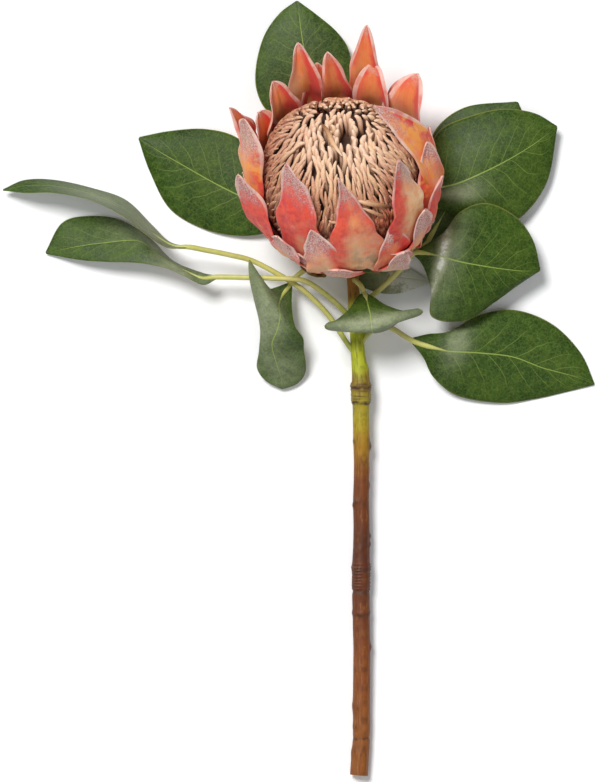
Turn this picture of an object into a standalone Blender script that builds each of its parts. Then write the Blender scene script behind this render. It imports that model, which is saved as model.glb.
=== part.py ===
"""King protea: one cut flowering stem that lies on a surface with its head tipped up.

Metres, +Z up. The origin is the flat spot on which the back of the head rests. The stem
runs along -Y from the head, and +X is to its right, seen from above.
"""

import math
import random

import bmesh
import bpy
import numpy as np

# Driving sizes, in millimetres. The plan view of the photograph gives the places: a point
# is its column and row there and its height above the surface.
HEAD_WIDTH = 152.0
HEAD_WIDTH_SEEN = 211.0
MM_PER_PIXEL = HEAD_WIDTH / HEAD_WIDTH_SEEN
EYE_HEIGHT = 5000.0
FRAME_CENTRE = (300.0, 391.0)
REST_SPOT_SEEN = (346.8, 166.2)
MM = 0.001
GAP = 0.3
SHARP_ANGLE = math.radians(40)
CURVE_SAMPLES = 20

# The flower head: its base, the lean of its axis towards +Y, and the outline of its cup as
# radii at heights along the axis.
HEAD_BASE_SEEN = (345.5, 239.5, 21.3)
HEAD_LEAN = math.radians(42)
CUP_HEIGHTS = (-4.0, 0.0, 8.0, 18.0, 30.0, 45.0, 60.0, 80.0, 100.0, 125.0, 160.0)
CUP_RADII = (9.0, 13.0, 31.0, 48.0, 57.0, 61.5, 63.5, 64.0, 61.0, 58.0, 56.0)
RECEPTACLE_HEIGHTS = (-4.0, 0.0, 8.0, 13.0)
RECEPTACLE_RADII = (9.8, 13.8, 31.8, 38.0)
RECEPTACLE_SIDES = 28
FLOOR_SIZE = 0.4
ROOT_TOP = 10.5
ROOT_STEP = 1.25

# Each bract: angle round the axis (90 is the side that rests), column, row and height up the
# axis of its tip, width, where it is widest, how drawn out its tip is, how much of its width the
# tip keeps, how far it lies outside the cup, how late it bends, how far its edges roll in, its
# twist in degrees, how far its middle sways sideways and how far its tip curls outward.
BRACTS = (
    (77, 367, 25, 143, 26, 0.60, 0.60, 0.30, 2.6, 2.4, 0.20, 0, 0.0, 3.0),
    (111, 297.5, 43, 138, 26, 0.62, 0.45, 0.20, 0.3, 2.0, 0.40, -10, -4.0, 4.0),
    (92, 327, 52, 128, 23, 0.58, 0.25, 0.30, 1.8, 2.4, 0.45, 10, 0.0, 4.0),
    (69, 374, 63.5, 113, 29, 0.64, 0.12, 0.32, 0.0, 3.2, 0.50, 0, 0.0, 5.0),
    (40, 418.5, 74, 116, 42, 0.66, 0.14, 0.14, 0.4, 4.0, 0.40, 0, 0.0, 4.0),
    (3, 374, 106.5, 130, 35, 0.60, 0.40, 0.12, 3.6, 3.6, 0.05, -37, 0.0, 0.0),
    (-9, 427.5, 142, 98, 30, 0.60, 0.45, 0.22, 2.4, 3.0, 0.20, -50, 0.0, 2.0),
    (24, 430, 127, 91, 24, 0.50, 0.30, 0.20, 2.8, 2.2, 0.20, 0, 0.0, 1.0),
    (-20, 443, 176, 82, 28, 0.50, 0.30, 0.20, 4.0, 2.2, 0.20, 0, 0.0, 2.0),
    (-45, 399, 160.5, 126, 34, 0.45, 0.50, 0.16, 0.8, 2.6, 0.15, 0, -2.0, 2.0),
    (-57, 392, 225, 70, 26, 0.50, 0.45, 0.20, 2.8, 2.6, 0.20, 0, 0.0, 2.0),
    (-83, 338.5, 180, 120, 41, 0.30, 0.75, 0.10, 1.0, 3.2, 0.15, 0, 0.0, 2.0),
    (-96, 311, 231, 72, 28, 0.45, 0.45, 0.18, 3.2, 1.3, 0.20, 0, 0.0, 2.0),
    (-122, 286, 164, 122, 36, 0.45, 0.30, 0.16, 0.3, 2.4, 0.15, 0, -2.0, 2.0),
    (-169, 244, 119, 122, 35, 0.72, 0.30, 0.18, 3.0, 1.2, 0.25, 30, 0.0, 1.0),
    (166, 229.5, 108, 120, 36, 0.55, 0.50, 0.16, 0.2, 1.8, 0.15, 0, 0.0, 3.0),
    (137, 272.5, 81.5, 114, 34, 0.60, 0.35, 0.18, 1.6, 2.4, 0.45, 0, 0.0, 4.0),
    (152, 258, 113, 96, 32, 0.60, 0.00, 0.30, 2.8, 2.2, 0.30, 0, 0.0, 3.0),
    (-150, 238, 175, 90, 29, 0.50, 0.30, 0.22, 4.0, 1.8, 0.10, 30, 0.0, 2.0),
    (52, 404, 79, 104, 32, 0.60, 0.20, 0.20, 4.2, 2.4, 0.30, 0, 0.0, 2.0),
    (108, 317, 63, 112, 28, 0.60, 0.20, 0.20, 4.2, 2.4, 0.30, 0, 0.0, 2.0),
    (-70, 404, 253, 40, 40, 0.50, 0.45, 0.25, 5.2, 1.6, 0.10, 0, 0.0, 1.0),
)

# The low outer bracts, by angle, tip height, tip radius, width and how far out they lie.
LOW_BRACTS = (
    (-133, 58, 71, 28, 4.6),
    (-35, 72, 68, 26, 4.4),
    (6, 62, 69, 28, 5.0),
    (178, 66, 73, 30, 4.8),
    (88, 66, 68, 34, 5.6),
    (134, 60, 70, 28, 5.2),
    (34, 50, 68, 28, 6.0),
    (-95, 34, 62, 34, 6.0),
    (-122, 40, 62, 30, 6.0),
    (-53, 46, 69, 26, 6.2),
    (-16, 40, 65, 28, 6.6),
    (158, 42, 66, 28, 6.2),
    (-158, 40, 65, 28, 6.2),
)
LOW_BRACT_SHAPE = {"peak": 0.5, "point": 0.25, "blunt": 0.22, "bend": 2.2, "roll": 0.1, "curl": 1.5}
BRACT_STATIONS = 6
BRACT_COLUMNS = 4
BRACT_THICKNESS = 1.3
TIP_CROWDING = 1.35
ROOT_INSET = 1.0
STEP_OUT_BY = 0.25
ROLL_BY = 0.5
CURL_FROM = 0.6
TWIST_POWER = 1.5
WAIST = 0.42
TAPER_POWER = 0.5
POINT_POWER = 1.3
BLUNT_POWER = 8
TIP_HALF_WIDTH = 0.4
SMALL_STEP = 0.02

# The dome of styles: the outline of its surface from the rim of the receptacle to the top, how
# far it lies to the left of the cup, and the height over which it comes to lie there. The core
# lies deeper, and rows of pins stand out of it: the share of the outline where a row starts and
# its number.
DOME_HEIGHTS = (13.3, 28.0, 42.0, 58.0, 76.0, 90.0, 99.0, 104.0, 104.5, 103.0)
DOME_RADII = (34.0, 46.0, 51.0, 53.0, 53.5, 50.0, 42.0, 28.0, 13.0, 1.0)
DOME_SHIFT = -4.5
DOME_SHIFT_OVER = 30.0
CORE_DEPTH = 5.0
CORE_SIDES = 18
CORE_RINGS = 8
LEAST_RADIUS = 2.0
PIN_ROWS = (
    (0.12, 27),
    (0.27, 27),
    (0.42, 24),
    (0.56, 19),
    (0.69, 13),
    (0.80, 8),
)
PIN_REACH = 0.20
PIN_TURN_SCATTER = 0.15
PIN_START_SCATTER = 0.02
PIN_TIP_SCATTER = 0.04
PIN_SINK = 6.0
PIN_BOW = -1.5
PIN_TIP = (-1.0, 0.5)
PIN_RADII = (2.25, 2.5, 1.75)
PIN_SIDES = 3
PIN_SEED = 7

# The stem: column, row, height and radius from the neck down to the cut end.
STEM_PATH = (
    (348.5, 258.0, 14.4, 4.9),
    (351.5, 268.0, 15.2, 4.7),
    (353.0, 279.0, 16.4, 4.5),
    (353.5, 292.0, 16.8, 4.3),
    (356.0, 318.0, 17.0, 5.2),
    (357.5, 345.0, 16.9, 5.0),
    (359.0, 364.0, 16.6, 5.4),
    (361.0, 380.0, 16.3, 6.5),
    (361.0, 394.0, 15.9, 7.2),
    (361.0, 408.0, 15.4, 6.0),
    (361.3, 440.0, 14.4, 5.9),
    (361.2, 470.0, 13.5, 5.4),
    (361.2, 503.0, 12.4, 5.8),
    (361.4, 540.0, 11.4, 5.9),
    (361.0, 566.0, 10.8, 6.4),
    (361.0, 591.0, 10.2, 6.4),
    (361.0, 614.0, 9.7, 6.2),
    (361.6, 650.0, 9.0, 6.1),
    (361.6, 700.0, 8.0, 6.2),
    (361.5, 737.0, 7.2, 6.2),
    (360.4, 757.0, 6.9, 6.4),
    (359.0, 775.0, 6.5, 6.5),
)
STEM_SIDES = 12
NECK_RADIUS = 5.6
NECK_LENGTH = 5.0
NECK_STATIONS = 10
STEM_STATIONS = 40
STEM_SAMPLES = 2000
NECK_SHARE = 2
RING_OFFSETS = (-1.5, 0, 1.5)
RING_ROOM = 0.12
# Rings round the stem: row, height of the ring's edge and half its length, in millimetres.
STEM_RINGS = (
    (386.0, 0.7, 1.8),
    (401.0, 0.6, 1.8),
    (568.0, 0.6, 2.0),
    (591.0, -0.7, 1.8),
    (613.0, 0.5, 2.0),
    (737.0, -0.6, 1.8),
)

LEAF_THICKNESS = 0.9
BLADE_BASE = 1.4
BLADE_TIP = 0.8
STALK_OVERLAP = 0.7
LEAF_STATIONS = 8
LEAF_COLUMNS = 5
STALK_SIDES = 6
STALK_EXTRA_RINGS = 3
STALK_PLACES = (0, 0.85, 1)
STALK_RADII = (1.9, 1.6, 1.1)

# Each leaf: its stalk from the stem to the blade, then the blade as rows of left edge,
# midrib and right edge, seen from the base, and its tip.
LEAVES = {
    "leaf_left_upper": {
        "stalk": (
            (357, 357, 16.7), (345, 340, 18), (329, 316, 19.5), (311, 297, 19), (293, 283, 19),
            (255, 262, 20), (230, 255, 24), (205, 250, 28), (189, 247, 30),
        ),
        "rows": (
            ((170, 242, 23), (171, 245, 30), (168, 248, 36)),
            ((152, 225, 12), (150, 231, 28), (148, 236, 44)),
            ((126, 200, 5), (124, 208, 24), (121, 215, 46)),
            ((92, 188, 2.5), (91, 194, 20), (89, 200, 40)),
            ((55, 180, 3), (54, 186, 16), (54, 193, 30)),
            ((25, 180, 6), (24, 186, 12), (26, 193, 19)),
        ),
        "tip": (3, 190, 8),
    },
    "leaf_left_lower": {
        "stalk": (
            (356, 323, 17), (346, 313, 22), (329, 297, 26), (311, 284, 27), (298, 279.5, 27.5),
            (270, 278, 27), (248, 277.5, 24), (217, 277, 22),
        ),
        "rows": (
            ((200, 272, 19), (202, 278, 23), (203, 285, 25)),
            ((172, 260, 11), (180, 268, 21), (184, 276, 26)),
            ((150, 238, 5), (158, 255, 18), (165, 268, 25)),
            ((120, 220, 2), (138, 241, 15), (138, 263, 21)),
            ((88, 216, 1), (103, 243, 12), (108, 262, 17)),
            ((62, 223, 0.8), (75, 247, 8), (80, 260, 11)),
        ),
        "tip": (46, 253, 2),
    },
    "leaf_left_hanging": {
        "stalk": (
            (351, 268, 15.6), (341, 263, 13), (325, 261, 12.5), (310, 267, 12.5), (298, 275, 13),
            (291, 283, 14),
        ),
        "rows": (
            ((263, 288, 32), (284, 293, 19), (292, 292, 15)),
            ((250, 260, 38), (279, 304, 31), (292, 308, 24)),
            ((249, 276, 37), (280, 317, 35), (295, 326, 32)),
            ((254, 300, 30), (277, 331, 31), (303, 338, 27)),
            ((260, 326, 22), (272, 345, 24), (304, 350, 19)),
            ((259, 350, 14), (277, 365, 16), (306, 366, 11)),
            ((257, 368, 8), (283, 380, 9), (304, 378, 6)),
        ),
        "tip": (285, 389, 4),
    },
    "leaf_back_left": {
        "stalk": ((350, 259, 15.5), (334, 249, 13), (315, 238, 11.5), (292, 222, 12)),
        "rows": (
            ((285, 200, 10), (276, 214, 11), (272, 232, 9)),
            ((262, 160, 7), (246, 199, 9), (240, 236, 5)),
            ((236, 137, 4), (216, 184, 7), (204, 229, 2)),
            ((205, 129, 2), (186, 167, 6), (170, 209, 0.8)),
            ((170, 131, 1.2), (160, 152, 5), (150, 172, 0.8)),
        ),
        "tip": (139, 138, 2),
    },
    "leaf_back_top": {
        "stalk": (
            (348, 252, 15.4), (336, 240, 11), (318, 222, 7.5), (299, 192, 4.5), (289, 160, 3.2),
            (296, 137, 3.4), (316, 126, 5),
        ),
        "rows": (
            ((300, 122, 5), (313, 112, 6), (330, 110, 6)),
            ((270, 113, 6), (310, 92, 9), (347, 92, 8)),
            ((257, 92, 7), (307, 72, 11), (351, 68, 9)),
            ((256, 66, 7), (304, 50, 12), (348, 48, 9)),
            ((264, 36, 7), (301, 30, 11), (336, 31, 9)),
            ((279, 14, 6), (299, 14, 9), (317, 15, 8)),
        ),
        "tip": (297, 1, 7),
    },
    "leaf_back_right": {
        "stalk": (
            (352, 271, 15.8), (366, 264, 14), (385, 262, 13), (405, 256, 14), (424, 246, 15),
        ),
        "rows": (
            ((420, 228, 12), (432, 234, 13), (446, 241, 12)),
            ((424, 195, 8), (447, 208, 10), (470, 215, 8)),
            ((428, 160, 4), (465, 177, 7), (500, 185, 4)),
            ((436, 129, 1.5), (483, 148, 5), (520, 155, 2)),
            ((466, 107, 0.8), (500, 124, 4), (528, 128, 1)),
        ),
        "tip": (517, 102, 1.5),
    },
    "leaf_right_upper": {
        "stalk": (
            (350, 262, 15.6), (364, 250, 14), (382, 236, 13), (400, 215, 12.5), (418, 193, 14),
        ),
        "rows": (
            ((425, 160, 12), (436, 188, 16), (432, 206, 13)),
            ((440, 130, 12), (456, 184, 19), (458, 216, 14)),
            ((470, 116, 12), (480, 174, 21), (490, 226, 13)),
            ((503, 109, 12), (508, 160, 20), (520, 218, 12)),
            ((534, 113, 11), (534, 144, 17), (547, 182, 10)),
        ),
        "tip": (557, 127, 12),
    },
    "leaf_right_middle": {
        "stalk": (
            (355, 309, 17), (372, 296, 24), (390, 280, 28), (407, 262, 30), (414, 253, 31),
        ),
        "rows": (
            ((425, 245, 31), (424, 253, 34), (423, 266, 31)),
            ((444, 232, 29), (440, 256, 37), (431, 290, 30)),
            ((460, 212, 28), (457, 261, 39), (432, 317, 30)),
            ((486, 203, 26), (477, 265, 36), (465, 321, 25)),
            ((515, 216, 24), (503, 269, 31), (495, 302, 21)),
            ((533, 240, 22), (524, 271, 26), (520, 284, 19)),
        ),
        "tip": (540, 270, 21),
    },
    "leaf_right_lower": {
        "stalk": (
            (357, 350, 16.8), (368, 334, 19.5), (379, 326, 22), (393, 329, 22), (411, 340, 20),
        ),
        "rows": (
            ((428, 334, 18), (427, 346, 20), (423, 357, 17)),
            ((450, 331, 14), (447, 351, 18), (434, 378, 12)),
            ((480, 315, 9), (480, 353, 14), (458, 396, 6)),
            ((515, 310, 5), (513, 357, 11), (500, 403, 3)),
            ((552, 324, 3), (543, 368, 8), (535, 399, 1)),
            ((580, 352, 2), (573, 376, 5), (566, 392, 0.8)),
        ),
        "tip": (594, 384, 1.5),
    },
    "leaf_under_head": {
        "stalk": (
            (353, 277, 16.4), (343, 274, 13.5), (336.5, 272, 10), (338, 272, 6.5), (343, 272, 6.8),
        ),
        "rows": (
            ((350, 263, 6), (352, 272, 8), (350, 280, 10)),
            ((372, 258, 3), (372, 273, 8), (372, 291, 12)),
            ((392, 261, 1.5), (393, 277, 8), (393, 294, 13)),
            ((412, 269, 1.5), (412, 279, 7), (411, 290, 11)),
        ),
        "tip": (431, 282, 5),
    },
    "leaf_front": {
        "stalk": ((353, 280, 16.6), (356, 281, 25), (361, 286, 30), (364, 293, 30)),
        "rows": (
            ((357, 297, 33), (366, 297, 36), (374, 297, 35)),
            ((349, 309, 40), (368, 305, 44), (386, 305, 42)),
            ((336, 320, 44), (370, 313, 51), (405, 311, 47)),
            ((325, 325, 43), (371, 321, 56), (421, 311, 44)),
            ((330, 331, 39), (372, 330, 56), (402, 320, 42)),
            ((352, 329, 37), (373, 333, 48), (390, 328, 39)),
        ),
        "tip": (374, 330, 38),
    },
}


def seen(column, row, height):
    """The place, in millimetres, of a point seen at a column and row of the plan view."""
    pixel = MM_PER_PIXEL * (1 - height / EYE_HEIGHT)
    x = EYE[0] + (column - FRAME_CENTRE[0]) * pixel
    y = EYE[1] + (FRAME_CENTRE[1] - row) * pixel
    return np.array((x, y, height))


EYE = np.array((
    (FRAME_CENTRE[0] - REST_SPOT_SEEN[0]) * MM_PER_PIXEL,
    (REST_SPOT_SEEN[1] - FRAME_CENTRE[1]) * MM_PER_PIXEL,
    EYE_HEIGHT,
))
HEAD_BASE = seen(*HEAD_BASE_SEEN)
HEAD_AXIS = np.array((0.0, math.sin(HEAD_LEAN), math.cos(HEAD_LEAN)))
HEAD_SIDE = np.array((1.0, 0.0, 0.0))
HEAD_DOWN = np.cross(HEAD_AXIS, HEAD_SIDE)


def head_outward(angle):
    """The direction straight out from the head's axis at an angle in radians."""
    return math.cos(angle) * HEAD_SIDE + math.sin(angle) * HEAD_DOWN


def in_head(height, radius, angle):
    """A point of the head from its height along the axis, radius and angle in radians."""
    return HEAD_BASE + height * HEAD_AXIS + radius * head_outward(angle)


def head_point(column, row, height):
    """The place seen at a column and row that is that far up the head's axis."""
    low = seen(column, row, 0.0)
    ray = unit(low - EYE)
    up_low = (low - HEAD_BASE) @ HEAD_AXIS
    return low + ray * (height - up_low) / (ray @ HEAD_AXIS)


def unit(vector):
    return vector / np.linalg.norm(vector)


def curve_at(points, place):
    """A Catmull-Rom curve through the points, at a place from 0 to the last point's index."""
    last = len(points) - 1
    index = min(int(place), last - 1)
    t = place - index
    before = points[index - 1] if index else 2 * points[0] - points[1]
    after = points[index + 2] if index + 2 <= last else 2 * points[last] - points[last - 1]
    start, end = points[index], points[index + 1]
    return 0.5 * (
        2 * start
        + (end - before) * t
        + (2 * before - 5 * start + 4 * end - after) * t**2
        + (3 * start - before - 3 * end + after) * t**3
    )


def even_places(points, count):
    """Places along the curve that are evenly spaced by its length."""
    dense = np.linspace(0, len(points) - 1, CURVE_SAMPLES * len(points))
    traced = np.array([curve_at(points, place)[:3] for place in dense])
    steps = np.linalg.norm(np.diff(traced, axis=0), axis=1)
    length = np.concatenate([[0], np.cumsum(steps)])
    return np.interp(np.linspace(0, length[-1], count), length, dense)


def new_object(name, points, faces, look=None, collection=None):
    """An object from points in millimetres, with its faces turned outwards."""
    mesh = bpy.data.meshes.new(name)
    mesh.from_pydata([tuple(point * MM) for point in points], [], faces)
    shape = bmesh.new()
    shape.from_mesh(mesh)
    bmesh.ops.triangulate(shape, faces=shape.faces[:])
    bmesh.ops.recalc_face_normals(shape, faces=shape.faces[:])
    shape.to_mesh(mesh)
    shape.free()
    made = bpy.data.objects.new(name, mesh)
    (collection or bpy.context.scene.collection).objects.link(made)
    if look:
        mesh.materials.append(look)
    return made


def material(name, colour, roughness):
    made = bpy.data.materials.new(name)
    made.use_nodes = True
    shader = made.node_tree.nodes["Principled BSDF"]
    shader.inputs["Base Color"].default_value = (*colour, 1)
    shader.inputs["Roughness"].default_value = roughness
    shader.inputs["Metallic"].default_value = 0.0
    return made


def tube(points, radii, sides):
    """Points and faces of a closed tube along a list of points, one radius to a point."""
    ring_points = []
    side = unit(np.cross(points[1] - points[0], (0.3, 0.2, 1.0)))
    for index, centre in enumerate(points):
        ahead = points[min(index + 1, len(points) - 1)]
        behind = points[max(index - 1, 0)]
        along = unit(ahead - behind)
        side = unit(side - along * side.dot(along))
        other = np.cross(along, side)
        for turn in range(sides):
            angle = 2 * math.pi * turn / sides
            arm = math.cos(angle) * side + math.sin(angle) * other
            ring_points.append(centre + radii[index] * arm)
    faces = ring_faces(len(points), sides)
    return ring_points, faces


def ring_faces(rings, sides):
    """Faces of a closed skin over rings of points, with flat ends."""
    faces = [list(range(sides)), [(rings - 1) * sides + turn for turn in range(sides)]]
    for ring in range(rings - 1):
        for turn in range(sides):
            beside = (turn + 1) % sides
            low, high = ring * sides, (ring + 1) * sides
            faces.append([low + turn, low + beside, high + beside, high + turn])
    return faces


def plate(grid, thickness):
    """Points and faces of a thin curved plate over a grid of points, alike on both faces."""
    rows, columns = grid.shape[:2]
    along = np.gradient(grid, axis=0)
    across = np.gradient(grid, axis=1)
    normals = np.cross(along, across)
    normals /= np.linalg.norm(normals, axis=2, keepdims=True)
    half = normals * thickness / 2
    points = list((grid + half).reshape(-1, 3)) + list((grid - half).reshape(-1, 3))
    under = rows * columns
    faces = []
    for row in range(rows - 1):
        for column in range(columns - 1):
            a = row * columns + column
            b, c, d = a + 1, a + columns + 1, a + columns
            faces += [[a, b, c], [a, c, d]]
            faces += [[under + c, under + b, under + a], [under + d, under + c, under + a]]
    rim = [column for column in range(columns)]
    rim += [row * columns + columns - 1 for row in range(1, rows)]
    rim += [(rows - 1) * columns + column for column in range(columns - 2, -1, -1)]
    rim += [row * columns for row in range(rows - 2, 0, -1)]
    for here, beside in zip(rim, rim[1:] + rim[:1]):
        faces.append([here, beside, under + beside, under + here])
    return points, faces


def applied_boolean(target, operation, operand):
    """Joins or cuts a target with an object or a collection, for good, and removes it."""
    modifier = target.modifiers.new("join", "BOOLEAN")
    modifier.operation = operation
    modifier.solver = "EXACT"
    if isinstance(operand, bpy.types.Collection):
        modifier.operand_type = "COLLECTION"
        modifier.collection = operand
        helpers = list(operand.objects)
    else:
        modifier.object = operand
        helpers = [operand]
    bpy.context.view_layer.update()
    graph = bpy.context.evaluated_depsgraph_get()
    joined = bpy.data.meshes.new_from_object(target.evaluated_get(graph))
    target.modifiers.clear()
    target.data = joined
    for helper in helpers:
        bpy.data.objects.remove(helper)
    if isinstance(operand, bpy.types.Collection):
        bpy.data.collections.remove(operand)


def drop_scraps(made):
    """Keeps the largest body of a mesh: fused repeats leave sealed hollows and loose scraps."""
    shape = bmesh.new()
    shape.from_mesh(made.data)
    waiting = set(shape.faces)
    bodies = []
    while waiting:
        front = [waiting.pop()]
        body = set(front)
        while front:
            for edge in front.pop().edges:
                beside = [face for face in edge.link_faces if face in waiting]
                waiting.difference_update(beside)
                body.update(beside)
                front += beside
        bodies.append(body)
    bodies.sort(key=len)
    for body in bodies[:-1]:
        bmesh.ops.delete(shape, geom=list(body), context="FACES")
    shape.to_mesh(made.data)
    shape.free()


def new_collection(name):
    made = bpy.data.collections.new(name)
    bpy.context.scene.collection.children.link(made)
    return made


def stem_places(path):
    """Places along the stem: close together at the neck and at each ring, and even between."""
    even = even_places(path, STEM_STATIONS)
    neck = np.linspace(0, even[NECK_SHARE], NECK_STATIONS)
    dense = np.linspace(even[NECK_SHARE], len(path) - 1, STEM_SAMPLES)
    lengthwise = [-curve_at(path, place)[1] for place in dense]
    rings = []
    for row, _, half_length in STEM_RINGS:
        middle = -seen(FRAME_CENTRE[0], row, STEM_PATH[-1][2])[1]
        for offset in RING_OFFSETS:
            rings.append(np.interp(middle + offset * half_length, lengthwise, dense))
    between = [
        place
        for place in even[NECK_SHARE + 1:]
        if min(abs(place - ring) for ring in rings) > RING_ROOM
    ]
    return np.array(sorted([*neck, *rings, *between]))


def stem_lines(extra_radius=0.0):
    """Centre points and radii along the stem, from the receptacle to the cut end."""
    neck_top = HEAD_BASE + (CUP_HEIGHTS[0] - GAP) * HEAD_AXIS
    neck_low = neck_top - NECK_LENGTH * HEAD_AXIS
    path = [np.array((*neck_low, NECK_RADIUS))]
    path += [np.array((*seen(*point[:3]), point[3])) for point in STEM_PATH]
    stations = [np.array((*neck_top, NECK_RADIUS))]
    stations += [curve_at(path, place) for place in stem_places(path)]
    centres = [station[:3] for station in stations]
    radii = []
    for centre, station in zip(centres, stations):
        radius = station[3] + extra_radius
        for row, rise, half_length in STEM_RINGS:
            distance = (centre[1] - seen(FRAME_CENTRE[0], row, centre[2])[1]) / half_length
            radius += rise * math.exp(-(distance**2))
        radii.append(radius)
    return centres, radii


def make_stem(bark):
    points, faces = tube(*stem_lines(), STEM_SIDES)
    return new_object("stem", points, faces, bark)


def beside(end, row, reach):
    """The end of a blade as a short row: its middle with a point to either side of it."""
    left, middle, right = row
    return [end + reach * unit(left - middle), end, end + reach * unit(right - middle)]


def leaf_grid(leaf):
    """A grid of points over a blade, from its base to its tip and from edge to edge."""
    base, tip = seen(*leaf["stalk"][-1]), seen(*leaf["tip"])
    rows = [[seen(*point) for point in row] for row in leaf["rows"]]
    first, last = rows[0], rows[-1]
    rows.insert(0, beside(base, first, BLADE_BASE))
    rows.append(beside(tip, last, BLADE_TIP))
    edges = [np.array([row[column] for row in rows]) for column in range(3)]
    places = even_places(edges[1], LEAF_STATIONS)
    grid = np.empty((LEAF_STATIONS, LEAF_COLUMNS, 3))
    for row, place in enumerate(places):
        left, middle, right = (curve_at(edge, place) for edge in edges)
        for column in range(LEAF_COLUMNS):
            s = column / (LEAF_COLUMNS - 1)
            grid[row, column] = (
                left * (1 - s) * (1 - 2 * s) + middle * 4 * s * (1 - s) + right * s * (2 * s - 1)
            )
    return grid


def make_leaf(name, leaf, blade_material, cutter_mesh):
    """A blade with its stalk, cut off 0.3 mm short of the stem."""
    grid = leaf_grid(leaf)
    blade = new_object(name, *plate(grid, LEAF_THICKNESS), blade_material)
    path = [seen(*point) for point in leaf["stalk"]]
    midrib = grid[:, LEAF_COLUMNS // 2]
    path.append(STALK_OVERLAP * midrib[1] + (1 - STALK_OVERLAP) * midrib[0])
    places = even_places(path, len(path) + STALK_EXTRA_RINGS)
    centres = [curve_at(path, place) for place in places]
    radii = np.interp(np.linspace(0, 1, len(centres)), STALK_PLACES, STALK_RADII)
    stalk = new_object(name + "_stalk", *tube(centres, radii, STALK_SIDES))
    applied_boolean(blade, "UNION", stalk)
    cutter = bpy.data.objects.new("stem_room", cutter_mesh)
    bpy.context.scene.collection.objects.link(cutter)
    applied_boolean(blade, "DIFFERENCE", cutter)
    return blade


def cup_radius(height):
    return float(np.interp(height, CUP_HEIGHTS, CUP_RADII))


def low_bract(angle, height, radius, width, layer):
    """A low outer bract as a row like those of the table above."""
    tip = in_head(height, radius, math.radians(angle))
    pixel = MM_PER_PIXEL * (1 - tip[2] / EYE_HEIGHT)
    column = FRAME_CENTRE[0] + (tip[0] - EYE[0]) / pixel
    row = FRAME_CENTRE[1] - (tip[1] - EYE[1]) / pixel
    peak, point, blunt, bend, roll, curl = LOW_BRACT_SHAPE.values()
    return angle, column, row, height, width, peak, point, blunt, layer, bend, roll, 0, 0.0, curl


def bract_half_width(t, width, peak, point, blunt):
    """Half a bract's width at a share of its length: a waist, a belly and a blunt tip."""
    rise = min(t / peak, 1)
    fall = max((t - peak) / (1 - peak), 0)
    belly = WAIST + (1 - WAIST) * math.sin(rise * math.pi / 2)
    taper = max(math.cos(fall * math.pi / 2), 0) ** (TAPER_POWER + POINT_POWER * point)
    tip_round = math.sqrt(max(1 - fall**BLUNT_POWER, 0))
    return max(width / 2 * belly * ((1 - blunt) * taper + blunt * tip_round), TIP_HALF_WIDTH)


def bract_grid(bract):
    """A grid of points over one bract, from its root to its tip."""
    angle, column, row, tip_height, width, peak, point, blunt = bract[:8]
    layer, bend, roll, twist, sway, curl = bract[8:]
    turn = math.radians(angle)
    outward = head_outward(turn)
    sideways = np.cross(outward, HEAD_AXIS)
    tip = head_point(column, row, tip_height)
    pull = tip - in_head(tip_height, cup_radius(tip_height) + layer, turn)
    root_height = ROOT_TOP - ROOT_STEP * layer

    def middle(t):
        height = root_height + (tip_height - root_height) * t
        radius = cup_radius(height) + layer * min(1, t / STEP_OUT_BY) - ROOT_INSET * (1 - t)
        curling = min(max((t - CURL_FROM) / (1 - CURL_FROM), 0), 1)
        inward = curl * math.sin(math.pi * curling)
        sweep = sway * math.sin(math.pi * t) * t
        return in_head(height, radius, turn) + pull * t**bend - outward * inward + sideways * sweep

    grid = np.empty((BRACT_STATIONS, BRACT_COLUMNS, 3))
    for index, t in enumerate(1 - (1 - np.linspace(0, 1, BRACT_STATIONS)) ** TIP_CROWDING):
        along = unit(middle(min(t + SMALL_STEP, 1)) - middle(max(t - SMALL_STEP, 0)))
        across = unit(np.cross(outward, along))
        face = np.cross(along, across)
        turned = math.radians(twist) * t**TWIST_POWER
        across, face = (
            math.cos(turned) * across + math.sin(turned) * face,
            math.cos(turned) * face - math.sin(turned) * across,
        )
        half = bract_half_width(t, width, peak, point, blunt)
        radius = cup_radius(root_height + (tip_height - root_height) * t)
        for place in range(BRACT_COLUMNS):
            s = 2 * place / (BRACT_COLUMNS - 1) - 1
            rolled = roll * half * min(1, t / ROLL_BY)
            hollow = (half * s) ** 2 / (2 * radius) + rolled * s * s
            grid[index, place] = middle(t) + across * half * s - face * hollow
    return grid


def make_bracts(petal):
    """The receptacle with all its bracts, flat where the back of the head rests."""
    points = [
        in_head(height, radius, 2 * math.pi * turn / RECEPTACLE_SIDES)
        for height, radius in zip(RECEPTACLE_HEIGHTS, RECEPTACLE_RADII)
        for turn in range(RECEPTACLE_SIDES)
    ]
    head = new_object("bracts", points, ring_faces(len(RECEPTACLE_HEIGHTS), RECEPTACLE_SIDES), petal)
    blades = new_collection("bract blades")
    for index, bract in enumerate([*BRACTS, *(low_bract(*low) for low in LOW_BRACTS)]):
        grid = bract_grid(bract)
        new_object(f"bract_{index}", *plate(grid, BRACT_THICKNESS), collection=blades)
    applied_boolean(head, "UNION", blades)
    bpy.ops.mesh.primitive_cube_add(size=FLOOR_SIZE, location=(0, 0, -FLOOR_SIZE / 2))
    applied_boolean(head, "DIFFERENCE", bpy.context.object)
    drop_scraps(head)
    return head


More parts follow.
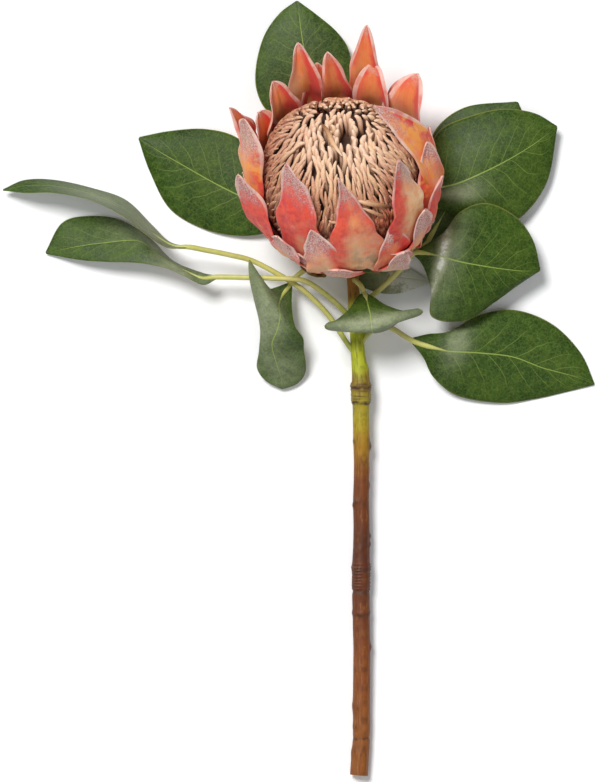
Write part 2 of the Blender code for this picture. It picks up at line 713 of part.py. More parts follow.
def on_dome(place, lift, angle):
    """A point over the dome's outline at a share of its length, lifted off its surface."""
    outline = [np.array(spot) for spot in zip(DOME_RADII, DOME_HEIGHTS)]
    last = len(outline) - 1
    ahead = curve_at(outline, min(place + SMALL_STEP, 1) * last)
    behind = curve_at(outline, max(place - SMALL_STEP, 0) * last)
    slope = unit(ahead - behind)
    radius, height = curve_at(outline, place * last) + lift * np.array((slope[1], -slope[0]))
    lean = DOME_SHIFT * min(max((height - DOME_HEIGHTS[0]) / DOME_SHIFT_OVER, 0), 1)
    return in_head(height, max(radius, LEAST_RADIUS), angle) + lean * HEAD_SIDE


def pin_lines(start, share, draw):
    """The three points of a pin that starts at a share of the outline and of the way round."""
    angle = 2 * math.pi * share
    low = start + draw.uniform(-PIN_START_SCATTER, PIN_START_SCATTER)
    root = on_dome(low, -PIN_SINK, angle)
    bow = on_dome(low + PIN_REACH / 2, PIN_BOW, angle)
    lift = draw.uniform(*PIN_TIP)
    tip = on_dome(low + PIN_REACH, lift, angle + draw.uniform(-PIN_TIP_SCATTER, PIN_TIP_SCATTER))
    return [root, bow, tip]


def make_styles(tan):
    """The core of the dome with its pins, which lean in towards the middle."""
    points = [
        on_dome(place, -CORE_DEPTH, 2 * math.pi * turn / CORE_SIDES)
        for place in np.linspace(0, 1, CORE_RINGS)
        for turn in range(CORE_SIDES)
    ]
    dome = new_object("styles", points, ring_faces(CORE_RINGS, CORE_SIDES), tan)
    pins = new_collection("pins")
    draw = random.Random(PIN_SEED)
    for row, (start, count) in enumerate(PIN_ROWS):
        for index in range(count):
            turn = index + 0.5 * (row % 2) + draw.uniform(-PIN_TURN_SCATTER, PIN_TURN_SCATTER)
            shape = tube(pin_lines(start, turn / count, draw), PIN_RADII, PIN_SIDES)
            new_object(f"pin_{row}_{index}", *shape, collection=pins)
    applied_boolean(dome, "UNION", pins)
    return dome


def main():
    for old in list(bpy.data.objects):
        bpy.data.objects.remove(old)
    bark = material("bark", (0.22, 0.13, 0.05), 0.6)
    leaf_green = material("leaf", (0.07, 0.13, 0.03), 0.5)
    petal = material("bract", (0.72, 0.22, 0.13), 0.75)
    tan = material("style", (0.62, 0.38, 0.22), 0.8)
    make_stem(bark)
    cutter_points, cutter_faces = tube(*stem_lines(GAP), STEM_SIDES)
    cutter = new_object("stem_room", cutter_points, cutter_faces)
    cutter_mesh = cutter.data
    bpy.data.objects.remove(cutter)
    for name, leaf in LEAVES.items():
        make_leaf(name, leaf, leaf_green, cutter_mesh)
    make_bracts(petal)
    make_styles(tan)
    for made in bpy.data.objects:
        made.data.shade_smooth()
        made.data.set_sharp_from_angle(angle=SHARP_ANGLE)


main()
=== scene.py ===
"""King protea: the finished surfaces of one cut flowering stem that lies on a pale floor.

Metres in the scene, millimetres in the tables. A point of the plan view is its column, its
row and its height above the floor. Each piece below stands for one solid of the frame.
"""

import math
import random

import bpy
import numpy as np
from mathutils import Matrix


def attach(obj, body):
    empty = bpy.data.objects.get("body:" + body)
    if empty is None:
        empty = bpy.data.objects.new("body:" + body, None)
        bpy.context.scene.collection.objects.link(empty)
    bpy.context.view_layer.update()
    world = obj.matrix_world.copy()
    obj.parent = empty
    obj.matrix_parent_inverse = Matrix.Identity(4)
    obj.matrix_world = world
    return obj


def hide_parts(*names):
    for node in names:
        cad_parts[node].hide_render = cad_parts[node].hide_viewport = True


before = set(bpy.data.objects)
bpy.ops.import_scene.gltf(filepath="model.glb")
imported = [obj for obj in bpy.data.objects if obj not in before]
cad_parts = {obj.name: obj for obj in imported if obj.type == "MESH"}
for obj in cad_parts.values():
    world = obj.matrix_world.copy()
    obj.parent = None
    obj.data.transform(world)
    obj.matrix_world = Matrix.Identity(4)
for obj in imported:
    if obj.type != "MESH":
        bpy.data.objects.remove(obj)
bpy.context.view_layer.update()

# The plan view: its scale, the height that it is seen from, its centre and the rest spot.
HEAD_WIDTH = 152.0
HEAD_WIDTH_SEEN = 211.0
MM_PER_PIXEL = HEAD_WIDTH / HEAD_WIDTH_SEEN
EYE_HEIGHT = 5000.0
FRAME_SIZE = (600.0, 782.0)
FRAME_CENTRE = (300.0, 391.0)
REST_SPOT_SEEN = (346.8, 166.2)
MM = 0.001
TINY = 1e-9
SEED = 11

# The flower head: its base, the lean of its axis towards +Y, the outline of its cup and the
# receptacle at the bottom of the cup, from which the bracts grow.
HEAD_BASE_SEEN = (345.5, 239.5, 21.3)
HEAD_LEAN = math.radians(42)
CUP_HEIGHTS = (-4.0, 0.0, 8.0, 18.0, 30.0, 45.0, 60.0, 80.0, 100.0, 125.0, 160.0)
CUP_RADII = (9.0, 13.0, 31.0, 48.0, 57.0, 61.5, 63.5, 64.0, 61.0, 58.0, 56.0)
RECEPTACLE_HEIGHTS = (-4.0, -2.0, 0.0, 4.0, 8.0)
RECEPTACLE_COVER = 0.8
RECEPTACLE_TOP = 13.0
RECEPTACLE_TOP_RADIUS = 38.0
TURNED_SIDES = 64
ROOT_TOP = 10.5
ROOT_STEP = 1.25

# Each bract: angle round the axis (90 is the side that rests), column, row and height up the
# axis of its tip, width, where it is widest, how drawn out its tip is, how much of its width the
# tip keeps, how far it lies outside the cup, how late it bends, how far its edges roll in, its
# twist in degrees, how far its middle sways sideways and how far its tip curls outward.
BRACTS = (
    (77, 367, 25, 143, 26, 0.6, 0.6, 0.3, 2.6, 2.4, 0.2, 0, 0.0, 3.0),
    (111, 297.5, 43, 138, 26, 0.62, 0.42, 0.28, 0.3, 2.0, 0.4, -10, -4.0, 4.0),
    (92, 327, 52, 128, 23, 0.58, 0.25, 0.3, 1.8, 2.4, 0.45, 10, 0.0, 4.0),
    (69, 374, 63.5, 113, 29, 0.64, 0.08, 0.42, 0.0, 3.2, 0.5, 0, 0.0, 5.0),
    (40, 418.5, 74, 116, 42, 0.66, 0.12, 0.22, 0.4, 4.0, 0.4, 0, 0.0, 4.0),
    (3, 374, 106.5, 130, 35, 0.6, 0.4, 0.12, 3.6, 3.6, 0.05, -37, 0.0, 0.0),
    (-9, 427.5, 142, 98, 30, 0.6, 0.45, 0.22, 2.4, 3.0, 0.2, -50, 0.0, 2.0),
    (24, 430, 127, 91, 24, 0.5, 0.3, 0.2, 2.8, 2.2, 0.2, 0, 0.0, 1.0),
    (-20, 443, 176, 82, 28, 0.5, 0.3, 0.2, 4.0, 2.2, 0.2, 0, 0.0, 2.0),
    (-45, 399, 160.5, 126, 34, 0.45, 0.5, 0.16, 0.8, 2.6, 0.15, 0, -2.0, 2.0),
    (-57, 393, 223.5, 70, 28, 0.5, 0.45, 0.2, 5.0, 2.0, 0.12, 0, 0.0, 0.5),
    (-83, 338.5, 180, 120, 41, 0.3, 0.75, 0.1, 1.0, 3.2, 0.15, 0, 0.0, 2.0),
    (-96, 311, 230.5, 72, 32, 0.45, 0.4, 0.18, 5.0, 1.3, 0.12, 0, 0.0, 0.5),
    (-122, 286, 164, 122, 36, 0.45, 0.3, 0.16, 0.3, 2.4, 0.15, 0, -2.0, 2.0),
    (-169, 244, 119, 122, 35, 0.72, 0.3, 0.18, 3.0, 1.2, 0.25, 30, 0.0, 1.0),
    (166, 229.5, 108, 120, 36, 0.55, 0.5, 0.16, 0.2, 1.8, 0.15, 0, 0.0, 3.0),
    (137, 272.5, 81.5, 114, 34, 0.62, 0.28, 0.26, 1.6, 2.4, 0.45, 0, 0.0, 4.0),
    (152, 258, 113, 96, 32, 0.6, 0.0, 0.3, 2.8, 2.2, 0.3, 0, 0.0, 3.0),
    (-150, 238, 175, 90, 29, 0.5, 0.3, 0.22, 4.0, 1.8, 0.1, 30, 0.0, 2.0),
    (52, 404, 79, 104, 32, 0.6, 0.2, 0.2, 4.2, 2.4, 0.3, 0, 0.0, 2.0),
    (108, 317, 63, 112, 28, 0.6, 0.2, 0.2, 4.2, 2.4, 0.3, 0, 0.0, 2.0),
    (-70, 406, 252, 40, 40, 0.5, 0.45, 0.25, 7.0, 1.4, 0.06, 0, 0.0, 0.0),
)

# The small brown husk that stands out under the head, as a row of the table above.
HUSK = (-124, 309, 274, 6, 19, 0.75, 0.1, 0.5, 6.0, 1.0, 0.0, 0, 0.0, 0.0)

# The low outer bracts, by angle, tip height, tip radius, width and how far out they lie.
LOW_BRACTS = (
    (-133, 58, 71, 28, 4.6),
    (-35, 72, 68, 26, 4.4),
    (6, 62, 69, 28, 5.0),
    (178, 66, 73, 30, 4.8),
    (88, 66, 68, 34, 5.6),
    (134, 60, 70, 28, 5.2),
    (34, 50, 68, 28, 6.0),
    (-95, 34, 62, 34, 6.0),
    (-122, 40, 62, 30, 6.0),
    (-53, 46, 69, 26, 6.2),
    (-16, 40, 65, 28, 6.6),
    (158, 42, 66, 28, 6.2),
    (-158, 40, 65, 28, 6.2),
)
# Where they are widest, how drawn out and blunt they are, how late they bend, roll and curl.
LOW_BRACT_SHAPE = (0.5, 0.25, 0.22, 2.2, 0.1, 1.5)

# The look of each bract of the first table: how red, pale, golden and felted it is, and which
# edge is the redder one, from -1 to 1.
BRACT_LOOKS = (
    (0.25, 0.2, 0.8, 0.45, 0.2),
    (0.6, 0.5, 0.5, 0.4, 0.8),
    (0.35, 0.3, 0.7, 0.35, 0.3),
    (0.45, 0.3, 0.6, 0.5, 0.2),
    (0.55, 0.2, 0.6, 0.45, 0.5),
    (0.45, 0.3, 1.0, 0.4, -0.6),
    (0.45, 0.4, 0.9, 0.55, 0.2),
    (0.5, 0.1, 0.4, 0.95, 0.0),
    (0.7, 0.1, 0.3, 0.5, 0.2),
    (0.45, 1.0, 0.4, 0.62, 1.0),
    (0.6, 0.2, 0.3, 0.8, -0.4),
    (0.58, 0.9, 0.38, 0.62, 0.3),
    (0.55, 0.8, 0.3, 1.1, -0.4),
    (0.8, 0.4, 0.3, 0.75, 0.4),
    (0.35, 0.2, 0.9, 0.9, -0.5),
    (0.45, 0.2, 0.8, 0.4, 0.0),
    (0.45, 0.5, 0.6, 0.35, 0.6),
    (0.4, 0.3, 0.8, 0.3, 0.0),
    (0.85, 0.2, 0.1, 0.8, 0.0),
    (0.6, 0.2, 0.5, 0.4, 0.0),
    (0.3, 0.5, 0.4, 0.8, 0.0),
    (0.25, 0.6, 0.1, 1.6, 0.0),
)
LOW_BRACT_LOOK = (0.45, 0.4, 0.2, 1.35, 0.0)
BRACT_STATIONS = 40
BRACT_COLUMNS = 21
BRACT_THICKNESS = 1.3
BRACT_WAIST = 0.42
BRACT_TIP_HALF = 0.3
# Where the curl starts along a bract and the raised rim starts across it, as shares, and the half
# width from which its waves have their full height.
CURL_START = 0.6
RIM_START = 0.62
FULL_HALF_WIDTH = 7
# The ranges that each half of a bract draws from: how often it waves, the phase, and the heights
# of the waves and of the rim.
BRACT_WAVES = ((3, 6), (0, 6.3), (0.5, 1.3), (0.8, 2.0))
BRACT_VALUES = ("along", "across", "face", "tone", "red", "pale", "gold", "felt", "lean", "husk")

# The dome of florets: the outline of its surface from the rim of the receptacle to the top, how
# far it leans to the left and over which height, and how deep its core lies; the core is painted
# near black, as shade between the florets.
DOME_HEIGHTS = (13.3, 28.0, 42.0, 58.0, 76.0, 90.0, 99.0, 104.0, 104.5, 103.0)
DOME_RADII = (34.0, 46.0, 51.0, 53.0, 53.5, 50.0, 42.0, 28.0, 13.0, 1.0)
DOME_SHIFT = -4.5
DOME_SHIFT_LENGTH = 30
DOME_STATIONS = 40
CORE_DEPTH = 7.5
CORE_DIP = 5.0
FLORET_COUNT = 1700
FLORET_RADIUS = 1.45
FLORET_SIDES = 6
FLORET_STATIONS = 9
FLORET_LIMIT = 0.95
FLORET_SPREAD = 0.17
# How far they reach and how deep they start, and how much is added on the front and at the top.
FLORET_REACH = 18
FLORET_REACH_FRONT = 20
FLORET_DEPTH = 3.6
FLORET_DEPTH_TOP = 13.0
# How far the top, where they stand upright, reaches in the dome's flat map.
TOP_REACH = 0.32
# The radii of a strand's last two rings, as shares of its size.
STRAND_END = (0.72, 0.30)
FLORET_VALUES = ("along", "tone", "ember", "outer", "crown")
GOLDEN_TURN = math.pi * (3 - math.sqrt(5))
# The dome's pale middle in the plan view, and how far from it the florets grow darker.
CROWN_SEEN = (338, 138)
CROWN_REACH = (60, 75)
# Which way the florets lie in the plan view: column and row of the tip, then how far it points
# to the right and upwards.
FLORET_LIES = (
    (272, 124, 0.9, 0.2), (276, 142, 0.9, 0.4), (266, 165, 0.85, 0.45),
    (268, 188, 0.6, 0.8), (292, 128, 0.9, 0.1), (296, 150, 0.75, 0.65),
    (300, 168, 0.6, 0.8), (308, 186, 0.3, 0.95), (312, 128, 0.4, 0.9),
    (320, 150, -0.15, 1.0), (328, 168, -0.2, 1.0), (318, 203, 0.08, 1.0),
    (335, 195, 0.0, 1.0), (345, 176, -0.08, 1.0), (356, 166, -0.48, 0.88),
    (362, 190, -0.58, 0.8), (376, 180, -0.65, 0.75), (386, 160, -0.75, 0.65),
    (386, 144, -0.8, 0.6), (369, 138, -0.35, 0.95), (350, 130, 0.0, 1.0),
    (336, 118, 0.0, 1.0), (330, 101, 0.05, -1.0), (350, 101, -0.15, -1.0),
    (310, 106, 0.6, -0.7), (369, 108, -0.75, -0.5), (386, 122, -0.95, -0.05),
)
# The open clefts at the top of the dome: columns and rows of their outlines.
CLEFTS = (
    (
        (320, 127), (327, 129), (334, 144), (342, 155),
        (347, 172), (343, 173), (336, 159), (327, 146),
    ),
    ((341, 122), (348, 122), (350, 142), (345, 152), (341, 140)),
    ((354, 119), (361, 120), (363, 132), (357, 138)),
)
# Loose strands on the dome: their radius and how orange they are, then column, row and height
# over the dome of each point.
LOOSE_STRANDS = (
    (1.9, 0.0, ((320, 123, -1), (325, 130, 2), (329, 138, 3), (333, 147, 3), (342, 157, 1))),
    (1.8, 0.0, ((394, 207, 0), (380, 204, 2.5), (366, 202, 3), (357, 200, 2))),
    (1.5, 0.1, ((394, 221, 0), (382, 215, 2), (371, 210, 3), (362, 207, 2))),
    (1.3, 0.2, ((345, 226, 0), (338, 222, 1.5), (329, 220, 1))),
)
# Patches of short orange strands: column and row of the middle, half width and half height, and
# how many strands.
EMBER_PATCHES = ((382, 222, 9.0, 10.0, 44), (312, 229, 8.0, 6.0, 24))

# The stem: column, row, height and radius from the neck down to the cut end.
STEM_PATH = (
    (348.5, 258.0, 14.4, 4.9), (351.5, 268.0, 15.2, 4.7), (353.0, 279.0, 16.4, 4.5),
    (353.5, 292.0, 16.8, 4.3), (356.0, 318.0, 17.0, 5.2), (357.5, 345.0, 16.9, 5.0),
    (359.0, 364.0, 16.6, 5.4), (361.0, 380.0, 16.3, 6.5), (361.0, 394.0, 15.9, 7.2),
    (361.0, 408.0, 15.4, 6.0), (361.3, 440.0, 14.4, 5.9), (361.2, 470.0, 13.5, 5.4),
    (361.2, 503.0, 12.4, 5.8), (361.4, 540.0, 11.4, 5.9), (361.0, 566.0, 10.8, 6.4),
    (361.0, 591.0, 10.2, 6.4), (361.0, 614.0, 9.7, 6.2), (361.6, 650.0, 9.0, 6.1),
    (361.6, 700.0, 8.0, 6.2), (361.5, 737.0, 7.2, 6.2), (360.4, 757.0, 6.9, 6.4),
    (359.0, 775.0, 6.5, 6.5),
)
NECK_RADIUS = 5.6
NECK_LENGTH = 5.0
NECK_GAP = 0.3
CUT_DEPTH = 0.3
STEM_SIDES = 44
STEM_STATIONS = 1100
STEM_VALUES = ("along", "around", "scar", "cut")
# Rings round the stem: row, height (a groove where it is below 0) and half the length.
STEM_RINGS = (
    (386.0, 0.7, 1.8), (401.0, 0.6, 1.8), (568.0, 0.6, 2.0),
    (591.0, -0.7, 1.8), (613.0, 0.5, 2.0), (737.0, -0.6, 1.8),
)
# Stretches of fine rough rings: first and last row, spacing in rows and height.
STEM_WRAPS = ((383.0, 390.0, 2.2, 0.5), (395.0, 404.0, 2.6, 0.5), (564.0, 590.0, 3.1, 0.6))
STEM_WRAP_SIZE = 0.65
# Bud scars and bumps on the bark: row, angle round the stem (0 is its right side, 90 its top),
# height, size and how dark it is. Their width round the stem is taken at the radius below.
STEM_BUMPS = (
    (333.0, 25, 2.2, 1.8, 0.0), (352.0, 150, 0.7, 4.0, 0.0), (369.0, 20, 0.9, 4.0, 0.0),
    (441.0, 170, 0.8, 2.4, 0.6), (440.0, 60, 0.5, 2.2, 0.4), (446.0, 12, 1.5, 3.2, 1.3),
    (470.0, 15, 0.5, 6.0, 0.0), (485.0, 10, 0.8, 3.0, 0.3), (501.0, 150, 1.1, 2.0, 0.8),
    (505.0, 175, 1.0, 2.2, 0.5), (536.0, 10, 1.2, 2.0, 0.8), (544.0, 20, 0.9, 2.0, 0.7),
    (549.0, 120, 0.6, 2.4, 0.4), (647.0, 14, 1.0, 2.6, 0.8), (668.0, 150, 0.5, 3.0, 0.2),
    (706.0, 165, 0.9, 4.0, 0.3), (726.0, 165, 0.8, 3.0, 0.3), (752.0, 175, 0.7, 4.0, 0.2),
)
STEM_BUMP_RADIUS = 6.0
# Slight random swellings to one side: how many, the rows that they lie in, the sizes that they
# have along the stem and their greatest height.
STEM_BENDS = 26
STEM_BEND_ROWS = (300, 775)
STEM_BEND_SIZES = (4, 14)
STEM_BEND_HEIGHT = 0.22

# The leaves: their blades, stalks and midribs. A stalk runs on into its blade to these parts of
# the blade's length, one 12th and one 5th.
LEAF_THICKNESS = 0.8
LEAF_STATIONS = 96
LEAF_COLUMNS = 41
STALK_RADIUS = 1.9
STALK_TIP_RADIUS = 0.5
STALK_SIDES = 14
STALK_TAPER_START = 0.82
STALK_END_PARTS = (12, 5)
BLADE_BASE_HALF = 1.4
BLADE_TIP_HALF = 0.8
MIDRIB_DEPTH = 0.35
MIDRIB_HALF = 0.9
VEIN_PAIRS = 9.0
LEAF_VALUES = ("along", "across", "face", "painted_sheen", "aside")

# Each leaf: patches of painted grey sheen, which stand for highlights on the blade, each with its
# strength, its middle and reach along the blade and across it, then the stalk from the stem to the
# blade, one edge of the blade, its midrib on to its tip, and its other edge.
LEAVES = {
    "leaf_left_upper": (
        ((0.75, 0.1, 0.4, 0.0, 2.0), (0.55, 0.5, 0.2, 0.2, 1.0)),
        ((357, 357, 16.7), (345, 340, 18), (329, 316, 19.5), (311, 297, 19), (293, 283, 19),
         (255, 262, 20), (230, 255, 24), (205, 250, 28), (189, 247, 30)),
        ((170, 242, 23), (152, 225, 12), (126, 200, 5), (92, 188, 2.5), (55, 180, 3), (25, 180, 6)),
        ((171, 245, 30), (150, 231, 28), (124, 208, 24), (91, 194, 20), (54, 186, 16),
         (24, 186, 12), (3, 190, 8)),
        ((168, 248, 36), (148, 236, 44), (121, 215, 46), (89, 200, 40), (54, 193, 30),
         (26, 193, 19)),
    ),
    "leaf_left_lower": (
        ((0.5, 0.06, 0.14, 0.0, 1.5), (0.9, 0.27, 0.14, 0.5, 0.9), (0.6, 0.4, 0.22, -0.4, 0.6)),
        ((356, 323, 17), (346, 313, 22), (329, 297, 26), (311, 284, 27), (298, 279.5, 27.5),
         (270, 278, 27), (248, 277.5, 24), (217, 277, 22)),
        ((200, 272, 19), (172, 260, 11), (150, 238, 5), (120, 220, 2), (88, 216, 1),
         (62, 223, 0.8)),
        ((202, 278, 23), (180, 268, 21), (158, 255, 18), (138, 241, 15), (103, 243, 12),
         (75, 247, 8), (46, 253, 2)),
        ((203, 285, 25), (184, 276, 26), (165, 268, 25), (138, 263, 21), (108, 262, 17),
         (80, 260, 11)),
    ),
    "leaf_left_hanging": (
        ((0.75, 0.45, 0.3, -0.5, 0.9), (0.5, 0.8, 0.25, 0.0, 1.2)),
        ((351, 268, 15.6), (341, 263, 13), (325, 261, 12.5), (310, 267, 12.5), (298, 275, 13),
         (291, 283, 14)),
        ((263, 288, 32), (250, 260, 38), (249, 276, 37), (254, 300, 30), (260, 326, 22),
         (259, 350, 14), (257, 368, 8), (266, 381, 5.5)),
        ((284, 293, 19), (279, 304, 31), (280, 317, 35), (277, 331, 31), (272, 345, 24),
         (277, 365, 16), (281, 377, 9), (282, 385, 6.5), (282, 388.8, 4)),
        ((292, 292, 15), (292, 308, 24), (295, 326, 32), (303, 338, 27), (304, 350, 19),
         (306, 366, 11), (304, 376, 6), (296, 384.5, 4.2)),
    ),
    "leaf_back_left": (
        (),
        ((350, 259, 15.5), (334, 249, 13), (315, 238, 11.5), (292, 222, 12)),
        ((285, 200, 10), (262, 160, 7), (236, 137, 4), (205, 129, 2), (170, 131, 1.2)),
        ((276, 214, 11), (246, 199, 9), (216, 184, 7), (186, 167, 6), (160, 152, 5), (139, 138, 2)),
        ((272, 232, 9), (240, 236, 5), (204, 229, 2), (170, 209, 0.8), (150, 172, 0.8)),
    ),
    "leaf_back_top": (
        ((0.08, 0.5, 0.4, 0.0, 1.0),),
        ((348, 252, 15.4), (336, 240, 11), (318, 222, 7.5), (299, 192, 4.5), (289, 160, 3.2),
         (296, 137, 3.4), (316, 126, 5)),
        ((300, 122, 5), (270, 113, 6), (257, 92, 7), (256, 66, 7), (264, 36, 7), (279, 14, 6)),
        ((313, 112, 6), (310, 92, 9), (307, 72, 11), (304, 50, 12), (301, 30, 11), (299, 14, 9),
         (297, 1, 7)),
        ((330, 110, 6), (347, 92, 8), (351, 68, 9), (348, 48, 9), (336, 31, 9), (317, 15, 8)),
    ),
    "leaf_back_right": (
        ((0.12, 0.4, 0.4, 0.0, 1.0),),
        ((352, 271, 15.8), (366, 264, 14), (385, 262, 13), (405, 256, 14), (424, 246, 15)),
        ((420, 228, 12), (424, 195, 8), (428, 160, 4), (436, 129, 1.5), (466, 107, 0.8)),
        ((432, 234, 13), (447, 208, 10), (465, 177, 7), (483, 148, 5), (500, 124, 4),
         (517, 102, 1.5)),
        ((446, 241, 12), (470, 215, 8), (500, 185, 4), (520, 155, 2), (528, 128, 1)),
    ),
    "leaf_right_upper": (
        ((0.8, 0.24, 0.16, 0.25, 0.2),),
        ((350, 262, 15.6), (364, 250, 14), (382, 236, 13), (400, 215, 12.5), (418, 193, 14)),
        ((425, 160, 12), (440, 130, 12), (470, 116, 12), (503, 109, 12), (534, 113, 11)),
        ((436, 188, 16), (456, 184, 19), (480, 174, 21), (508, 160, 20), (534, 144, 17),
         (557, 127, 12)),
        ((432, 206, 13), (458, 216, 14), (490, 226, 13), (520, 218, 12), (547, 182, 10)),
    ),
    "leaf_right_middle": (
        ((1.6, 0.225, 0.05, 0.0, 1.8), (0.35, 0.26, 0.12, 0.0, 1.5)),
        ((355, 309, 17), (372, 296, 24), (390, 280, 28), (407, 262, 30), (414, 253, 31)),
        ((425, 245, 31), (444, 232, 29), (460, 212, 28), (486, 203, 26), (515, 216, 24),
         (533, 240, 22)),
        ((424, 253, 34), (440, 256, 37), (457, 261, 39), (477, 265, 36), (503, 269, 31),
         (524, 271, 26), (540, 270, 21)),
        ((423, 266, 31), (431, 290, 30), (432, 317, 30), (465, 321, 25), (495, 302, 21),
         (520, 284, 19)),
    ),
    "leaf_right_lower": (
        ((0.65, 0.24, 0.07, -0.3, 0.7),),
        ((357, 350, 16.8), (368, 334, 19.5), (379, 326, 22), (393, 329, 22), (411, 340, 20)),
        ((428, 334, 18), (450, 331, 14), (480, 315, 9), (515, 310, 5), (552, 324, 3),
         (580, 352, 2)),
        ((427, 346, 20), (447, 351, 18), (480, 353, 14), (513, 357, 11), (543, 368, 8),
         (573, 376, 5), (594, 384, 1.5)),
        ((423, 357, 17), (434, 378, 12), (458, 396, 6), (500, 403, 3), (535, 399, 1),
         (566, 392, 0.8)),
    ),
    "leaf_under_head": (
        # The strong painted sheen here also brightens the blade where the head's shadow falls on
        # it.
        ((2.2, 0.85, 0.45, 0.0, 2.0),),
        ((353, 277, 16.4), (343, 274, 13.5), (336.5, 272, 10), (338, 272, 6.5), (343, 272, 6.8)),
        ((350, 263, 6), (372, 258, 3), (392, 261, 1.5), (412, 269, 1.5)),
        ((352, 272, 8), (372, 273, 8), (393, 277, 8), (412, 279, 7), (431, 282, 5)),
        ((350, 280, 10), (372, 291, 12), (393, 294, 13), (411, 290, 11)),
    ),
    "leaf_front": (
        ((0.95, 0.6, 0.14, 0.0, 1.2), (0.4, 0.9, 0.2, 0.0, 1.0)),
        ((353, 280, 16.6), (356, 281, 25), (361, 286, 30), (364, 293, 30)),
        ((357, 297, 33), (349, 309, 40), (336, 320, 44), (328, 322.5, 44), (324.5, 326, 43),
         (327, 329.5, 41), (336, 331, 39), (352, 329, 37)),
        ((366, 297, 36), (368, 305, 44), (370, 313, 51), (370.5, 317, 54), (371, 321, 56),
         (371.5, 325.5, 56.5), (372, 330, 56), (373, 333, 48), (374, 330, 38)),
        ((374, 297, 35), (386, 305, 42), (405, 311, 47), (418, 308.5, 45), (423, 312, 44),
         (417, 316.5, 43.5), (402, 320.5, 42), (390, 328, 39)),
    ),
}

# The stage: half the floor's width and how far it lies under the flower in metres, its corners,
# the suns with their strength, width in degrees and turn in degrees, and the sky.
FLOOR_REACH = 8.0
FLOOR_DROP = 0.0002
FLOOR_CORNERS = ((-1, -1), (1, -1), (1, 1), (-1, 1))
SUNS = {"key_sun": (2.9, 20, (-30, 0, 36)), "fill_sun": (0.55, 60, (28, 0, 20))}
SKY_STRENGTH = 0.26


def unit(vector):
    return vector / np.linalg.norm(vector)


def smooth(value):
    """A smooth step from 0 to 1."""
    value = min(max(value, 0.0), 1.0)
    return value * value * (3 - 2 * value)


def seen(column, row, height):
    """The place, in millimetres, of a point seen at a column and row of the plan view."""
    pixel = MM_PER_PIXEL * (1 - height / EYE_HEIGHT)
    x = EYE[0] + (column - FRAME_CENTRE[0]) * pixel
    y = EYE[1] + (FRAME_CENTRE[1] - row) * pixel
    return np.array((x, y, height))


def seen_from_above(point):
    """Column and row of the plan view at which a point is seen."""
    pixel = MM_PER_PIXEL * (1 - point[2] / EYE_HEIGHT)
    column = FRAME_CENTRE[0] + (point[0] - EYE[0]) / pixel
    return column, FRAME_CENTRE[1] - (point[1] - EYE[1]) / pixel


EYE = np.array((
    (FRAME_CENTRE[0] - REST_SPOT_SEEN[0]) * MM_PER_PIXEL,
    (REST_SPOT_SEEN[1] - FRAME_CENTRE[1]) * MM_PER_PIXEL,
    EYE_HEIGHT,
))
HEAD_BASE = seen(*HEAD_BASE_SEEN)
HEAD_AXIS = np.array((0.0, math.sin(HEAD_LEAN), math.cos(HEAD_LEAN)))
HEAD_SIDE = np.array((1.0, 0.0, 0.0))
HEAD_DOWN = np.cross(HEAD_AXIS, HEAD_SIDE)


def head_outward(angle):
    """The direction straight out from the head's axis at an angle in radians."""
    return math.cos(angle) * HEAD_SIDE + math.sin(angle) * HEAD_DOWN


def in_head(height, radius, angle):
    """A point of the head from its height along the axis, radius and angle in radians."""
    return HEAD_BASE + height * HEAD_AXIS + radius * head_outward(angle)


def on_dome(height, radius, angle):
    """A point of the dome, which leans to the left above its rim."""
    lean = DOME_SHIFT * smooth((height - DOME_HEIGHTS[0]) / DOME_SHIFT_LENGTH)
    return in_head(height, radius, angle) + lean * HEAD_SIDE


def head_point(column, row, height):
    """The place seen at a column and row that is that far up the head's axis."""
    low = seen(column, row, 0.0)
    ray = unit(low - EYE)
    up_low = (low - HEAD_BASE) @ HEAD_AXIS
    return low + ray * (height - up_low) / (ray @ HEAD_AXIS)


def cup_radius(height):
    return float(np.interp(height, CUP_HEIGHTS, CUP_RADII))


def inside(spot, outline):
    """Whether a spot of the plan view lies within an outline of corners."""
    column, row = spot
    crossed = False
    for (x0, y0), (x1, y1) in zip(outline, outline[1:] + outline[:1]):
        if (y0 > row) != (y1 > row) and column < x0 + (row - y0) * (x1 - x0) / (y1 - y0):
            crossed = not crossed
    return crossed


def curve_at(points, place):
    """A Catmull-Rom curve through the points, at a place from 0 to the last point's index."""
    last = len(points) - 1
    index = min(int(place), last - 1)
    t = place - index
    before = points[index - 1] if index else 2 * points[0] - points[1]
    after = points[index + 2] if index + 2 <= last else 2 * points[last] - points[last - 1]
    start, end = points[index], points[index + 1]
    return 0.5 * (
        2 * start
        + (end - before) * t
        + (2 * before - 5 * start + 4 * end - after) * t**2
        + (3 * start - before - 3 * end + after) * t**3
    )


def even_curve(points, count):
    """Points of the curve that are evenly spaced by its length in space."""
    return np.array([curve_at(points, place) for place in even_places(points, count)])


def even_places(points, count):
    """Places along the curve that are evenly spaced by its length."""
    dense = np.linspace(0, len(points) - 1, 20 * len(points))
    traced = np.array([curve_at(points, place)[:3] for place in dense])
    steps = np.linalg.norm(np.diff(traced, axis=0), axis=1)
    length = np.concatenate([[0], np.cumsum(steps)])
    return np.interp(np.linspace(0, length[-1], count), length, dense)


def add_object(name, data):
    made = bpy.data.objects.new(name, data)
    bpy.context.scene.collection.objects.link(made)
    return made


